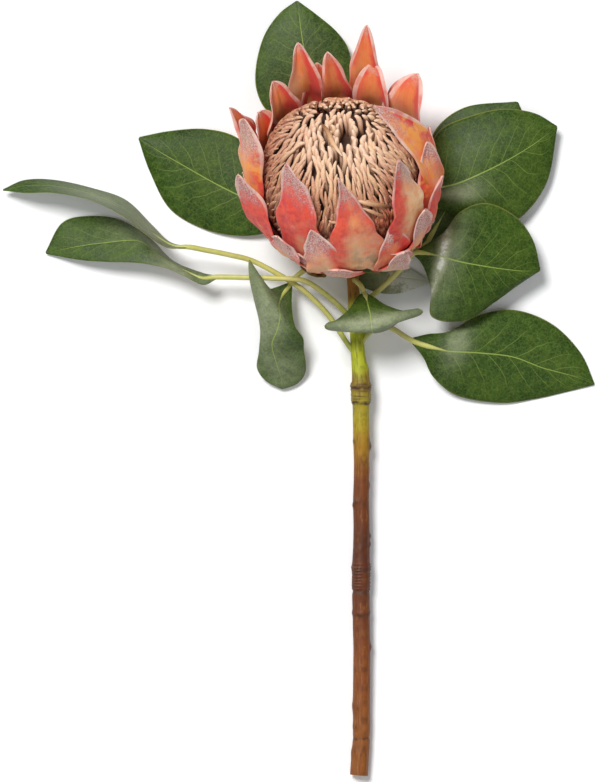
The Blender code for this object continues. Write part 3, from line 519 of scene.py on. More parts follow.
class Skin:
    """Points, faces and painted values of one piece while it is built."""

    def __init__(self, *value_names):
        self.points = []
        self.faces = []
        self.slots = []
        self.values = {name: [] for name in value_names}
        self.count = 0

    def add(self, points, faces, slot=0, **values):
        """Adds points in millimetres with their faces; a value is one number or one a point."""
        points = np.asarray(points, float).reshape(-1, 3)
        self.points.append(points)
        self.faces += [[corner + self.count for corner in face] for face in faces]
        self.slots += [slot] * len(faces)
        for name, store in self.values.items():
            value = np.asarray(values.get(name, 0.0), float).reshape(-1)
            store.append(np.broadcast_to(value, (len(points),)) if value.size == 1 else value)
        self.count += len(points)

    def piece(self, name, materials, node):
        """The finished object, which stands for a node of the frame and lies on the floor."""
        mesh = bpy.data.meshes.new(name)
        points = np.concatenate(self.points) * MM
        points[:, 2] = np.maximum(points[:, 2], 0.0)
        mesh.from_pydata(points.tolist(), [], self.faces)
        for material in materials:
            mesh.materials.append(material)
        mesh.polygons.foreach_set("material_index", self.slots)
        mesh.shade_smooth()
        for value_name, store in self.values.items():
            attribute = mesh.attributes.new(value_name, "FLOAT", "POINT")
            attribute.data.foreach_set("value", np.concatenate(store).astype(np.float32))
        mesh.validate()
        made = add_object(name, mesh)
        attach(made, "root")
        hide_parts(node)


def side_angles(sides):
    return 2 * math.pi * np.arange(sides) / sides


def ring_faces(rings, sides):
    """Faces of a closed skin over rings of points, with closed ends."""
    faces = [list(range(sides))[::-1], [(rings - 1) * sides + turn for turn in range(sides)]]
    for ring in range(rings - 1):
        for turn in range(sides):
            beside = (turn + 1) % sides
            low, high = ring * sides, (ring + 1) * sides
            faces.append([low + turn, low + beside, high + beside, high + turn])
    return faces


def turned_body(outline, place):
    """Points and faces of a closed body turned from heights and radii round the head's axis."""
    turns = side_angles(TURNED_SIDES)
    points = [place(height, radius, turn) for height, radius in outline for turn in turns]
    return points, ring_faces(len(outline), TURNED_SIDES)


def tube(points, radii, sides):
    """Points and faces of a closed tube; a radius is one number, or one for each side."""
    points = np.asarray(points, float)
    side = unit(np.cross(points[1] - points[0], (0.3, 0.2, 1.0)))
    angles = side_angles(sides)
    rings = []
    for index, centre in enumerate(points):
        ahead = points[min(index + 1, len(points) - 1)]
        behind = points[max(index - 1, 0)]
        along = unit(ahead - behind)
        side = unit(side - along * side.dot(along))
        other = np.cross(along, side)
        arms = np.outer(np.cos(angles), side) + np.outer(np.sin(angles), other)
        rings.append(centre + arms * np.broadcast_to(radii[index], (sides,))[:, None])
    return np.concatenate(rings), ring_faces(len(points), sides)


def grid_normals(grid):
    normals = np.cross(np.gradient(grid, axis=1), np.gradient(grid, axis=0))
    return normals / (np.linalg.norm(normals, axis=2, keepdims=True) + TINY)


def plate(grid, thickness):
    """A thin closed body over a grid, with values of where each point is.

    Each station is a closed ring: the front face from edge to edge, then the back face.
    """
    rows, columns = grid.shape[:2]
    sides = np.linspace(-1, 1, columns)
    round_edge = np.sqrt(np.clip(1 - sides**6, 0.06, 1))
    half = grid_normals(grid) * (thickness / 2)[..., None] * round_edge[None, :, None]
    rings = np.concatenate([grid + half, (grid - half)[:, ::-1]], axis=1)
    values = {
        "across": np.concatenate([sides, sides[::-1]]),
        "along": np.linspace(0, 1, rows)[:, None],
        "face": np.repeat([1.0, 0.0], columns),
    }
    values = {
        name: np.broadcast_to(value, (rows, 2 * columns)).reshape(-1)
        for name, value in values.items()
    }
    return rings.reshape(-1, 3), ring_faces(rows, 2 * columns), values


def low_bract(angle, height, radius, width, layer):
    """A low outer bract as a row like those of the table above."""
    column, row = seen_from_above(in_head(height, radius, math.radians(angle)))
    peak, point, blunt, bend, roll, curl = LOW_BRACT_SHAPE
    return angle, column, row, height, width, peak, point, blunt, layer, bend, roll, 0, 0.0, curl


def bract_half_width(t, width, peak, point, blunt):
    """Half a bract's width at a share of its length: a waist, a belly and a blunt tip."""
    rise = min(t / peak, 1)
    fall = max((t - peak) / (1 - peak), 0)
    belly = BRACT_WAIST + (1 - BRACT_WAIST) * math.sin(rise * math.pi / 2)
    taper = max(math.cos(fall * math.pi / 2), 0) ** (0.5 + 1.3 * point)
    tip_round = math.sqrt(max(1 - fall**8, 0))
    return max(width / 2 * belly * ((1 - blunt) * taper + blunt * tip_round), BRACT_TIP_HALF)


def bract_grid(bract, draw):
    """A grid of points over one bract, from its root to its tip."""
    angle, column, row, tip_height, width, peak, point, blunt = bract[:8]
    layer, bend, roll, twist, sway, curl = bract[8:]
    turn = math.radians(angle)
    outward = head_outward(turn)
    sideways = np.cross(outward, HEAD_AXIS)
    tip = head_point(column, row, tip_height)
    pull = tip - in_head(tip_height, cup_radius(tip_height) + layer, turn)
    root_height = ROOT_TOP - ROOT_STEP * layer
    waves = [[draw.uniform(*limits) for limits in BRACT_WAVES] for _ in range(2)]

    def middle(t):
        """A point of the bract's middle line at a share of its length."""
        height = root_height + (tip_height - root_height) * t
        radius = cup_radius(height) + layer * min(1, 4 * t) - (1 - t)
        t = max(t, 0)
        inward = curl * math.sin(math.pi * min(max((t - CURL_START) / (1 - CURL_START), 0), 1.1))
        sweep = sway * math.sin(math.pi * t) * t
        return in_head(height, radius, turn) + pull * t**bend - outward * inward + sideways * sweep

    def lift(t, s, half, radius):
        """How far the bract's face stands off its flat form, from its middle (s = 0) to an edge."""
        frequency, phase, height, rim_height = waves[s > 0]
        narrow = min(1, half / FULL_HALF_WIDTH)
        grown = smooth(2 * t)
        hollow = (half * s) ** 2 / (2 * radius) + roll * s * s * half * min(1, 2 * t)
        rim = smooth((abs(s) - RIM_START) / (1 - RIM_START)) * rim_height
        rim *= smooth(2.5 * t) * narrow
        beat = math.sin(frequency * t * math.pi + phase)
        wave = 1.3 * height * beat * abs(s) ** 3 * grown * narrow
        dent = 0.6 * math.sin(3.4 * s + phase) * math.sin(9 * t + 2 * phase) * grown
        dent += 0.35 * math.sin(5.3 * s - 7 * t + 3 * phase) * grown
        keel = -0.35 * math.exp(-((s / 0.16) ** 2)) * smooth(2.5 * t)
        return rim + wave + keel + dent - hollow

    grid = np.empty((BRACT_STATIONS, BRACT_COLUMNS, 3))
    places = 1 - (1 - np.linspace(0, 1, BRACT_STATIONS)) ** 1.25
    for index, t in enumerate(places):
        along = unit(middle(min(t + 0.02, 1)) - middle(max(t - 0.02, 0)))
        flat = unit(np.cross(outward, along))
        upright = np.cross(along, flat)
        turned = math.radians(twist) * t**1.5
        across = math.cos(turned) * flat + math.sin(turned) * upright
        face = math.cos(turned) * upright - math.sin(turned) * flat
        centre = middle(t)
        half = bract_half_width(t, width, peak, point, blunt)
        radius = max(30.0, cup_radius(root_height + (tip_height - root_height) * t))
        for place in range(BRACT_COLUMNS):
            s = 2 * place / (BRACT_COLUMNS - 1) - 1
            frequency, phase = waves[s > 0][:2]
            frill = 1 + 0.07 * math.sin(1.7 * frequency * t * math.pi + 2 * phase) * abs(s)
            aside = across * half * s * frill
            grid[index, place] = centre + aside + face * lift(t, s, half, radius)
    return grid


def srgb(*display):
    """A linear colour from display values of 0 to 255."""
    shares = [value / 255 for value in display]
    linear = [v / 12.92 if v <= 0.04045 else ((v + 0.055) / 1.055) ** 2.4 for v in shares]
    return (*linear, 1.0)


class Value:
    """The output of a node; sums and products with it add the nodes that work them out."""

    def __init__(self, paint, socket):
        self.paint = paint
        self.socket = socket

    def __add__(self, other):
        return self.paint.math("ADD", self, other)

    def __sub__(self, other):
        return self.paint.math("SUBTRACT", self, other)

    def __mul__(self, other):
        return self.paint.math("MULTIPLY", self, other)

    def __truediv__(self, other):
        return self.paint.math("DIVIDE", self, other)

    def __abs__(self):
        return self.paint.math("ABSOLUTE", self)

    def span(self, *limits, kind="SMOOTHSTEP"):
        """The value between two limits, mapped to 0 and 1 or to two further limits."""
        return self.paint.node("MapRange", enumerate((self, *limits)), interpolation_type=kind)


class Paint:
    """A node material under construction, which starts from settings of its shader."""

    def __init__(self, name, settings):
        self.material = bpy.data.materials.new(name)
        self.material.use_nodes = True
        self.tree = self.material.node_tree
        self.shader = self.tree.nodes["Principled BSDF"]
        self.link(settings, self.shader)
        self.place = self.node("TexCoord", output="Object")

    def link(self, sources, node):
        """Gives a node's inputs, by name or number, their values."""
        for key, source in sources.items():
            if isinstance(source, Value):
                self.tree.links.new(source.socket, node.inputs[key])
            else:
                node.inputs[key].default_value = source

    def node(self, kind, sources=(), output=0, **settings):
        """The output of a new node with its inputs and settings."""
        made = self.tree.nodes.new("ShaderNode" + kind)
        for setting, value in settings.items():
            setattr(made, setting, value)
        self.link(dict(sources), made)
        return Value(self, made.outputs[output])

    def values(self, *names):
        """Painted values of the mesh."""
        return [self.node("Attribute", output="Fac", attribute_name=name) for name in names]

    def math(self, operation, *sources):
        return self.node("Math", enumerate(sources), operation=operation)

    def noise(self, scale, detail, roughness=0.5, place=None):
        sources = {"Scale": scale, "Detail": detail, "Roughness": roughness}
        return self.node("TexNoise", {"Vector": place or self.place, **sources})

    def ramp(self, value, *stops):
        """A colour by value; each stop is a position and a display colour."""
        made = self.node("ValToRGB", {0: value})
        elements = made.socket.node.color_ramp.elements
        while len(elements) < len(stops):
            elements.new(1.0)
        for element, (position, colour) in zip(elements, stops):
            element.position = position
            element.color = srgb(*colour)
        return made

    def mix(self, share, first, second, blend="MIX"):
        """Two colours mixed by a share; a colour is a value or three display values."""
        first, second = (srgb(*c) if isinstance(c, tuple) else c for c in (first, second))
        sources = {0: share, 6: first, 7: second}
        return self.node("Mix", sources, output=2, data_type="RGBA", blend_type=blend)

    def bump(self, height, distance, strength, normal=None):
        sources = {"Height": height, "Distance": distance, "Strength": strength}
        return self.node("Bump", {**sources, "Normal": normal} if normal else sources)

    def finish(self, colour, normal):
        self.link({"Base Color": colour, "Normal": normal}, self.shader)
        return self.material


def bract_paint():
    """Felted bracts: cream at the base, gold and coral above, grainy grey felt at the tip."""
    paint = Paint("bract_felt", {
        "Roughness": 0.78, "Specular IOR Level": 0.3, "Sheen Weight": 0.1, "Sheen Roughness": 0.5,
        "Subsurface Weight": 0.06, "Subsurface Scale": 0.004,
    })
    along, across, face, tone, red, pale, gold, felted, lean, husk = paint.values(*BRACT_VALUES)
    edge = abs(across)
    aside = across * lean
    wide = paint.noise(60.0, 2.0)
    blots = paint.noise(95.0, 3.0, 0.55)
    patches = paint.noise(210.0, 4.0, 0.6)
    speckle = paint.noise(1100.0, 3.0, 0.7)
    grain = speckle.span(0.36, 0.62)

    # The outer faces darken towards the root, below a share of about 0.44: painted shade where the
    # bracts overlap low on the head.
    outer = paint.ramp(
        wide * 0.3 + along,
        (0.28, (130, 98, 74)), (0.44, (188, 142, 106)), (0.58, (232, 168, 124)),
        (0.76, (242, 160, 112)), (1.0, (238, 136, 96)),
    )
    creamy = pale * blots.span(0.35, 0.6, 0.25, 1.0)
    outer = paint.mix(creamy, outer, (242, 214, 166))
    outer = paint.mix(gold * wide.span(0.4, 0.6, 0.0, 0.9), outer, (236, 148, 62))
    blush = red + along * 0.55 + blots * 0.9 + edge * 0.35 + aside * 0.55
    deep = paint.mix(patches.span(0.4, 0.65), (226, 72, 58), (202, 40, 56))
    outer = paint.mix(blush.span(1.05, 1.65) * 0.94, outer, deep)
    sunny = gold.span(0.3, 0.9, 0.05, 1.0) * blots.span(0.44, 0.62)
    outer = paint.mix(sunny, outer, (242, 160, 74))
    reach = felted * 0.34 + along + patches * 0.4 + aside * -0.12
    felt = reach.span(1.04, 1.3) * speckle.span(0.3, 0.6, 0.45, 1.0)
    outer = paint.mix(felt, outer, paint.mix(grain, (146, 106, 108), (222, 194, 184)))

    inner = paint.ramp(
        wide * 0.3 + (along - 0.15),
        (0.18, (140, 74, 28)), (0.36, (210, 126, 56)), (0.52, (240, 158, 80)),
        (0.74, (236, 132, 66)), (0.95, (226, 104, 66)),
    )
    inner = paint.mix(creamy * 0.75, inner, (244, 200, 142))
    warm = red * 0.5 + blots + edge * 0.75 + aside * 0.45
    inner = paint.mix(warm.span(0.78, 1.35, 0.0, 0.95), inner, (226, 74, 64))
    cream_side = (aside * -1.0).span(-0.05, 0.55) * along.span(0.55, 0.9, 1.0, 0.0)
    inner = paint.mix(cream_side, inner, (244, 204, 156))
    tip = (patches * 0.25 + along).span(0.98, 1.1, 0.0, 0.9)
    inner = paint.mix(tip * grain, inner, (214, 178, 168))

    colour = paint.mix(face, outer, inner)
    rim = (edge - along.span(0.5, 0.97, 0.95, 0.55, kind="LINEAR")).span(0.0, 0.08)
    rim = rim * along.span(0.4, 0.8) * blots.span(0.35, 0.6, 0.4, 0.85)
    colour = paint.mix(rim, colour, (236, 204, 190))
    brown = paint.mix(patches.span(0.4, 0.6), (84, 54, 22), (128, 110, 50))
    colour = paint.mix(husk, colour, brown)
    fibre_place = paint.node("CombineXYZ", enumerate((across * 9.0, along * 1.6, tone * 30.0)))
    fibres = paint.noise(3.0, 5.0, 0.6, fibre_place)
    colour = paint.mix(fibres.span(0.35, 0.7, 0.0, 0.25), colour, (150, 60, 40), "SOFT_LIGHT")
    normal = paint.bump(speckle, 0.00025, 0.5)
    return paint.finish(colour, paint.bump(fibres, 0.0006, 0.35, normal))


def floret_paint():
    """Tan florets, near black at the root as painted shade deep in the thatch, with paler, slightly
    pink tips.
    """
    paint = Paint("floret_silk", {"Roughness": 0.7, "Sheen Weight": 0.08})
    along, tone, ember, outer, crown = paint.values(*FLORET_VALUES)
    # The ramp's near-black root is painted shade deep between the florets; the core, whose along is
    # 0, takes it too.
    colour = paint.ramp(
        along,
        (0.0, (28, 14, 6)), (0.2, (62, 32, 12)), (0.4, (132, 78, 38)),
        (0.62, (188, 130, 82)), (0.86, (222, 172, 128)), (1.0, (244, 218, 190)),
    )
    colour = paint.mix(tone.span(0.35, 1.0, 0.0, 0.6), colour, (196, 124, 84))
    colour = paint.mix(outer, colour, (196, 138, 98), "MULTIPLY")
    colour = paint.mix(crown * along.span(0.25, 0.7, 0.0, 0.5), colour, (246, 216, 194))
    colour = paint.mix(tone.span(0.0, 0.3, 0.35, 0.0), colour, (226, 190, 132))
    colour = paint.mix(ember, colour, (196, 84, 30))
    speckle = paint.noise(900.0, 3.0, 0.6)
    light = speckle.span(0.35, 0.65, 0.0, 0.3) * along.span(0.3, 0.8)
    colour = paint.mix(light, colour, (242, 220, 194))
    return paint.finish(colour, paint.bump(speckle, 0.0003, 0.6))


def leaf_paint():
    """A leathery blade: dark green above with fine pale veins and patches of painted grey sheen."""
    paint = Paint("leaf_blade", {"Specular IOR Level": 0.18})
    along, across, face, painted_sheen, aside = paint.values(*LEAF_VALUES)
    edge = abs(across)
    clouds = paint.noise(24.0, 3.0, 0.55)
    mottle = paint.noise(150.0, 4.0, 0.6)
    grain = paint.noise(700.0, 3.0, 0.7)
    green = paint.ramp(clouds, (0.3, (22, 44, 4)), (0.5, (34, 60, 6)), (0.7, (50, 72, 12)))
    green = paint.mix(mottle.span(0.4, 0.7, 0.0, 0.35), green, (84, 110, 34))
    green = paint.mix(grain.span(0.4, 0.65, 0.0, 0.25), green, (96, 118, 52))
    # Painted sheen: grey to near-white patches stand for highlights of the light on the curved
    # blade.
    painted_sheen_amount = painted_sheen * mottle.span(0.2, 0.7, 0.6, 1.0) * grain.span(0.3, 0.6, 0.75, 1.0)
    upper = paint.mix(paint.math("MINIMUM", painted_sheen_amount, 1.0), green, (158, 164, 134))
    upper = paint.mix(painted_sheen_amount.span(0.9, 1.4), upper, (216, 220, 208))
    lower = paint.mix(mottle.span(0.3, 0.7), (92, 108, 62), (120, 132, 92))
    colour = paint.mix(face, lower, upper)

    sweep = paint.math("POWER", edge, 0.8) * -0.24 + along + (clouds * 0.12 - 0.06)
    turns = sweep * VEIN_PAIRS + across.span(-0.01, 0.01, 0.0, 0.4)
    off_vein = abs(paint.math("FRACT", turns) - 0.5)
    vein = off_vein.span(0.46, 0.5) * edge.span(0.3, 0.95, 1.0, 0.0)
    cells = paint.node(
        "TexVoronoi", {"Vector": paint.place, "Scale": 300.0}, feature="DISTANCE_TO_EDGE",
    )
    net = cells.span(0.0, 0.07, 1.0, 0.0)
    rib_width = along.span(0.0, 1.0, 0.85, 0.22, kind="LINEAR")
    rib = (abs(aside) / rib_width).span(0.5, 1.0, 1.0, 0.0) * along.span(0.8, 0.97, 1.0, 0.2)
    lines = paint.math("MAXIMUM", vein * 0.34, net * 0.13)
    lines = paint.math("MAXIMUM", lines, rib * 0.76)
    colour = paint.mix(lines, colour, (150, 170, 82))
    colour = paint.mix(edge.span(0.972, 0.995, 0.0, 0.5), colour, (150, 152, 78))
    paint.link({"Roughness": mottle.span(0.25, 0.75, 0.42, 0.54)}, paint.shader)
    normal = paint.bump(paint.noise(420.0, 3.0, 0.6), 0.0004, 0.3)
    return paint.finish(colour, paint.bump(lines, 0.0002, 0.6, normal))


def stalk_paint():
    """The leaf stalks: green at the stem, pale yellow on their way to the blade."""
    paint = Paint("leaf_stalk", {"Roughness": 0.45})
    [along] = paint.values("along")
    colour = paint.ramp(
        along,
        (0.0, (148, 160, 52)), (0.4, (196, 188, 104)),
        (0.85, (182, 184, 92)), (1.0, (150, 164, 88)),
    )
    streaks = paint.noise(260.0, 4.0, 0.6)
    colour = paint.mix(streaks.span(0.35, 0.7, 0.0, 0.35), colour, (216, 206, 138))
    return paint.finish(colour, paint.bump(streaks, 0.0004, 0.4))


def bark_paint():
    """The stem: brown neck, yellow-green upper part, brown bark from the middle down."""
    paint = Paint("stem_bark", {"Roughness": 0.55, "Specular IOR Level": 0.4})
    row, around, scar, cut = paint.values(*STEM_VALUES)
    fibre_place = paint.node("CombineXYZ", enumerate((around * 9.0, row * 60.0, 0.0)))
    fibre = paint.noise(1.0, 5.0, 0.62, fibre_place)
    blotch = paint.noise(90.0, 4.0, 0.6)
    # The yellow-green stops from about 0.41 to 0.47 are the stem's own colour, raised a little as
    # painted light where the front leaf's shadow falls.
    colour = paint.ramp(
        row + (blotch * 0.05 - 0.025),
        (0.335, (146, 90, 24)), (0.37, (160, 106, 28)), (0.39, (172, 164, 34)),
        (0.41, (182, 192, 38)), (0.47, (164, 170, 30)), (0.492, (128, 100, 30)),
        (0.51, (150, 136, 34)), (0.535, (166, 150, 22)), (0.575, (152, 108, 10)),
        (0.61, (116, 58, 4)), (0.70, (84, 32, 2)), (0.79, (104, 48, 6)),
        (0.86, (128, 66, 14)), (0.96, (136, 76, 18)),
    )
    colour = paint.mix(fibre.span(0.45, 0.68, 0.0, 0.6), colour, (66, 34, 8))
    colour = paint.mix(fibre.span(0.28, 0.44, 0.45, 0.0), colour, (178, 122, 44))
    colour = paint.mix(blotch.span(0.55, 0.8, 0.0, 0.3), colour, (172, 118, 48))
    colour = paint.mix(paint.math("MINIMUM", scar, 0.9), colour, (58, 30, 14))
    colour = paint.mix(cut, colour, (176, 132, 84))
    return paint.finish(colour, paint.bump(blotch, 0.0008, 0.4, paint.bump(fibre, 0.0007, 0.7)))


def make_stem(bark):
    """The stem from the receptacle to its cut end, with its rings, scars and bumps."""
    neck_top = HEAD_BASE + (CUP_HEIGHTS[0] - NECK_GAP) * HEAD_AXIS
    neck_low = neck_top - NECK_LENGTH * HEAD_AXIS
    path = [np.array((*neck_top, NECK_RADIUS)), np.array((*neck_low, NECK_RADIUS))]
    path += [np.array((*seen(*point[:3]), point[3])) for point in STEM_PATH]
    stations = even_curve(path, STEM_STATIONS)
    rows = seen_from_above(stations.T)[1]
    angles = side_angles(STEM_SIDES)
    swell = np.zeros((STEM_STATIONS, STEM_SIDES))
    scar = np.zeros_like(swell)
    draw = random.Random(SEED)

    def off(row, size, sway=0.0):
        """How far each point lies from a row that may sway round the stem, in sizes."""
        return (rows[:, None] - row - sway) * MM_PER_PIXEL / size

    for row, rise, half_length in STEM_RINGS:
        sway = 0.5 * np.sin(2 * angles + row) + 0.45 * np.sin(7 * angles + 3 * row)
        uneven = 0.75 + 0.25 * np.sin(5 * angles + 2 * row) + 0.2 * np.sin(13 * angles + row)
        far = off(row, half_length, sway)
        swell += rise * np.exp(-(far**2)) * uneven
        scar += 0.8 * np.exp(-((far - 0.6) ** 2) * 3) * uneven
    for first, last, spacing, rise in STEM_WRAPS:
        for row in np.arange(first, last, spacing):
            far = off(row, STEM_WRAP_SIZE, draw.uniform(-0.5, 0.5) * np.sin(angles + row))
            uneven = 0.6 + 0.4 * np.sin(3 * angles + 2 * row)
            swell += rise * np.exp(-(far**2)) * uneven
            scar += 0.55 * np.exp(-((far - 1.3) ** 2)) * uneven
    for row, angle, rise, size, dark in STEM_BUMPS:
        turn = np.abs((angles - math.radians(angle)) % (2 * math.pi) - math.pi)
        near = np.exp(-(off(row, size) ** 2) - (turn * STEM_BUMP_RADIUS / size) ** 2)
        swell += rise * near
        scar += dark * near
    for _ in range(STEM_BENDS):
        row, turn = draw.uniform(*STEM_BEND_ROWS), draw.uniform(0, 2 * math.pi)
        near = np.exp(-(off(row, draw.uniform(*STEM_BEND_SIZES)) ** 2)) * np.cos(angles - turn)
        swell += draw.uniform(-STEM_BEND_HEIGHT, STEM_BEND_HEIGHT) * near
    cut = rows > STEM_PATH[-1][1] - CUT_DEPTH
    skin = Skin(*STEM_VALUES)
    skin.add(
        *tube(stations[:, :3], stations[:, 3:] + swell, STEM_SIDES),
        along=np.repeat(rows / FRAME_SIZE[1], STEM_SIDES),
        around=np.tile(np.sin(angles), STEM_STATIONS),
        scar=np.clip(scar, 0, 1),
        cut=np.repeat(cut, STEM_SIDES),
    )
    skin.piece("stem_bark", [bark], "stem")


def make_bracts(felt):
    """The receptacle with all its bracts."""
    draw = random.Random(SEED + 1)
    skin = Skin(*BRACT_VALUES)
    outline = [(height, cup_radius(height) + RECEPTACLE_COVER) for height in RECEPTACLE_HEIGHTS]
    outline.append((RECEPTACLE_TOP, RECEPTACLE_TOP_RADIUS))
    skin.add(*turned_body(outline, in_head), along=0.1, face=1.0, tone=0.5)
    rows = [*BRACTS, *(low_bract(*low) for low in LOW_BRACTS), HUSK]
    looks = list(BRACT_LOOKS) + [LOW_BRACT_LOOK] * (len(LOW_BRACTS) + 1)
    taper = np.linspace(1, 0.1, BRACT_STATIONS)[:, None] ** 0.25
    thickness = BRACT_THICKNESS * (0.45 + 0.55 * taper) * np.ones((1, BRACT_COLUMNS))
    for bract, look in zip(rows, looks):
        points, faces, values = plate(bract_grid(bract, draw), thickness)
        values.update(zip(("red", "pale", "gold", "felt", "lean"), look))
        skin.add(points, faces, tone=draw.random(), husk=float(bract is HUSK), **values)
    skin.piece("flower_bracts", [felt], "bracts")


class Dome:
    """The dome's surface, with a flat map: its centre is the top and its unit circle the rim."""

    def __init__(self):
        profile = [np.array((r, height, 0.0)) for r, height in zip(DOME_RADII, DOME_HEIGHTS)]
        self.outline = even_curve(profile, DOME_STATIONS)[:, :2]
        self.length = np.linalg.norm(np.diff(self.outline, axis=0), axis=1).sum()
        slopes = np.gradient(self.outline, axis=0)
        slopes /= np.linalg.norm(slopes, axis=1, keepdims=True)
        self.outward = np.column_stack([slopes[:, 1], -slopes[:, 0]])
        self.far_out = np.linspace(1, 0, DOME_STATIONS)

    def core(self):
        """Heights and radii of the dark core, which lies deeper under the top."""
        under_top = np.clip((np.linspace(0, 1, DOME_STATIONS) - 0.76) / 0.15, 0, 1)
        core = self.outline - self.outward * (CORE_DEPTH + CORE_DIP * under_top)[:, None]
        core[:, 0] = np.maximum(core[:, 0], 0.5)
        return core[:, ::-1]

    def surface(self, place, lift):
        """The point over a place of the flat map, lifted off the dome."""
        reach = min(math.hypot(*place), 1.0)
        columns = (*self.outline.T, *self.outward.T)
        spot = [np.interp(reach, self.far_out[::-1], column[::-1]) for column in columns]
        radius = max(spot[0] + lift * spot[2], 0.0)
        return on_dome(spot[1] + lift * spot[3], radius, math.atan2(place[1], place[0]))

    def slope_at(self, place, way):
        """The step in the flat map that is seen as the given step of the plan view."""
        step = 0.01
        here = self.surface(place, 0)[:2]
        east = (self.surface(place + np.array((step, 0)), 0)[:2] - here) / step
        north = (self.surface(place + np.array((0, step)), 0)[:2] - here) / step
        return np.linalg.lstsq(np.column_stack([east, north]), way, rcond=0.15)[0]

    def place_seen(self, column, row):
        """The place of the flat map that is seen at a column and row."""
        place = np.zeros(2)
        for _ in range(25):
            spot = self.surface(place, 0)
            miss = seen(column, row, spot[2])[:2] - spot[:2]
            place = place + 0.5 * self.slope_at(place, miss)
        return place


def make_florets(silk):
    """The dome: a core painted near black as shade, thatched with slender florets that lean to the
    parting.
    """
    draw = random.Random(SEED + 2)
    dome = Dome()
    skin = Skin(*FLORET_VALUES)
    # The core is painted near black, as shade in the gaps between the florets.
    skin.add(*turned_body(dome.core(), on_dome), tone=0.5)
    area = np.concatenate([[0], np.cumsum((dome.outline[1:, 0] + dome.outline[:-1, 0]) / 2)])
    area /= area[-1]
    spots = np.array([lie[:2] for lie in FLORET_LIES], float)
    ways = np.array([lie[2:] for lie in FLORET_LIES])
    steps = np.linspace(0, 1, FLORET_STATIONS)

    def add_strand(centres, size, **values):
        """Adds a strand that is fullest past its middle and runs out to a blunt point."""
        radii = [size * (0.6 + 0.4 * math.sin(math.pi * min(0.8 * t, 1))) for t in steps]
        radii[-2:] = [share * size for share in STRAND_END]
        strand = tube(centres, radii, FLORET_SIDES)
        skin.add(*strand, along=np.repeat(0.2 + 0.8 * steps, FLORET_SIDES), **values)

    for index in range(FLORET_COUNT):
        angle = index * GOLDEN_TURN + draw.uniform(-0.02, 0.02)
        distance = np.interp((index + 0.5) / FLORET_COUNT, area, dome.far_out)
        if distance > FLORET_LIMIT:
            continue
        end = distance * np.array((math.cos(angle), math.sin(angle)))
        column, row = seen_from_above(dome.surface(end, 0))
        if any(inside((column, row), cleft) for cleft in CLEFTS):
            continue
        near = 1 / (np.sum((spots - (column, row)) ** 2, axis=1) + 20.0) ** 2
        way = near @ ways / near.sum()
        way = way + FLORET_SPREAD * np.array((draw.gauss(0, 1), draw.gauss(0, 1)))
        course = unit(dome.slope_at(end, way))
        aside = np.array((-course[1], course[0]))
        back = 0.5 + 0.5 * math.sin(angle)
        upright = smooth(1.15 - distance / TOP_REACH)
        reach = FLORET_REACH + FLORET_REACH_FRONT * (1 - back)
        reach = reach * draw.uniform(0.75, 1.2) / dome.length
        reach = min(reach * (1 - 0.75 * upright), 1.0 - distance)
        lift_end = draw.uniform(-1.0, 1.8) + 2.0 * upright
        wave = draw.uniform(-1, 1) * 1.5 / dome.length
        depth = FLORET_DEPTH + FLORET_DEPTH_TOP * upright + draw.uniform(0, 1.5)
        centres = []
        for t in steps:
            place = end - course * reach * (1 - t)
            place = place + aside * wave * math.sin(2.2 * math.pi * t)
            lift = -depth * (1 - t) ** 1.6 + lift_end * t**2 + 0.9 * math.sin(math.pi * t)
            centres.append(dome.surface(place, lift))
        size = FLORET_RADIUS * draw.uniform(0.7, 1.2) * (1 + 0.45 * upright)
        tone = 0.6 * draw.random() + 0.4 * smooth((175 - row) / 60 + (300 - column) / 60)
        from_crown = math.hypot(
            (column - CROWN_SEEN[0]) / CROWN_REACH[0], (row - CROWN_SEEN[1]) / CROWN_REACH[1],
        )
        flank = smooth((from_crown - 0.35) / 0.5)
        outer = flank * draw.uniform(0.7, 1.0) * (1 - upright)
        add_strand(centres, size, tone=tone, outer=outer, crown=upright)

    for size, ember, path in LOOSE_STRANDS:
        path = [dome.surface(dome.place_seen(column, row), lift) for column, row, lift in path]
        centres = [curve_at(path, t * (len(path) - 1)) for t in steps]
        add_strand(centres, size, tone=0.2, ember=ember)
    for column, row, wide, high, count in EMBER_PATCHES:
        for _ in range(count):
            across = column + wide * draw.uniform(-1, 1)
            down = row + high * draw.uniform(-1, 1)
            root = dome.place_seen(across, down + 5)
            tip = dome.place_seen(across + draw.uniform(-4, 4), down - 5)
            centres = []
            for t in steps:
                lift = 1.5 + 1.5 * math.sin(math.pi * t)
                centres.append(dome.surface(root + (tip - root) * t, lift))
            add_strand(centres, draw.uniform(0.6, 1.1), tone=0.5, ember=0.8)
    skin.piece("flower_florets", [silk], "styles")


def leaf_grid(stalk, *edges):
    """A grid of points over a blade, from its base to its tip and from edge to edge."""
    left, midrib, right = ([seen(*point) for point in edge] for edge in edges)
    base, tip = seen(*stalk[-1]), midrib.pop()
    for edge in (left, right):
        low = base + BLADE_BASE_HALF * unit(edge[0] - midrib[0])
        high = tip + BLADE_TIP_HALF * unit(edge[-1] - midrib[-1])
        edge[:] = [low, *edge, high]
    midrib = [base, *midrib, tip]
    grid = np.empty((LEAF_STATIONS, LEAF_COLUMNS, 3))
    s = np.linspace(0, 1, LEAF_COLUMNS)[:, None]
    for row, place in enumerate(even_places(midrib, LEAF_STATIONS)):
        start, middle, end = (curve_at(edge, place) for edge in (left, midrib, right))
        grid[row] = start * (1 - s) * (1 - 2 * s) + middle * 4 * s * (1 - s) + end * s * (2 * s - 1)
    return grid


def leaf_painted_sheen(patches, along, across):
    """How much painted grey sheen, a painted highlight, each point of a blade has: soft patches
    along and across it.
    """
    painted_sheen = np.zeros(np.broadcast(along, across).shape)
    for strength, middle, reach, aside, spread in patches:
        patch = np.exp(-(((along - middle) / reach) ** 2) - ((across - aside) / spread) ** 2)
        painted_sheen = np.maximum(painted_sheen, strength * patch)
    return painted_sheen


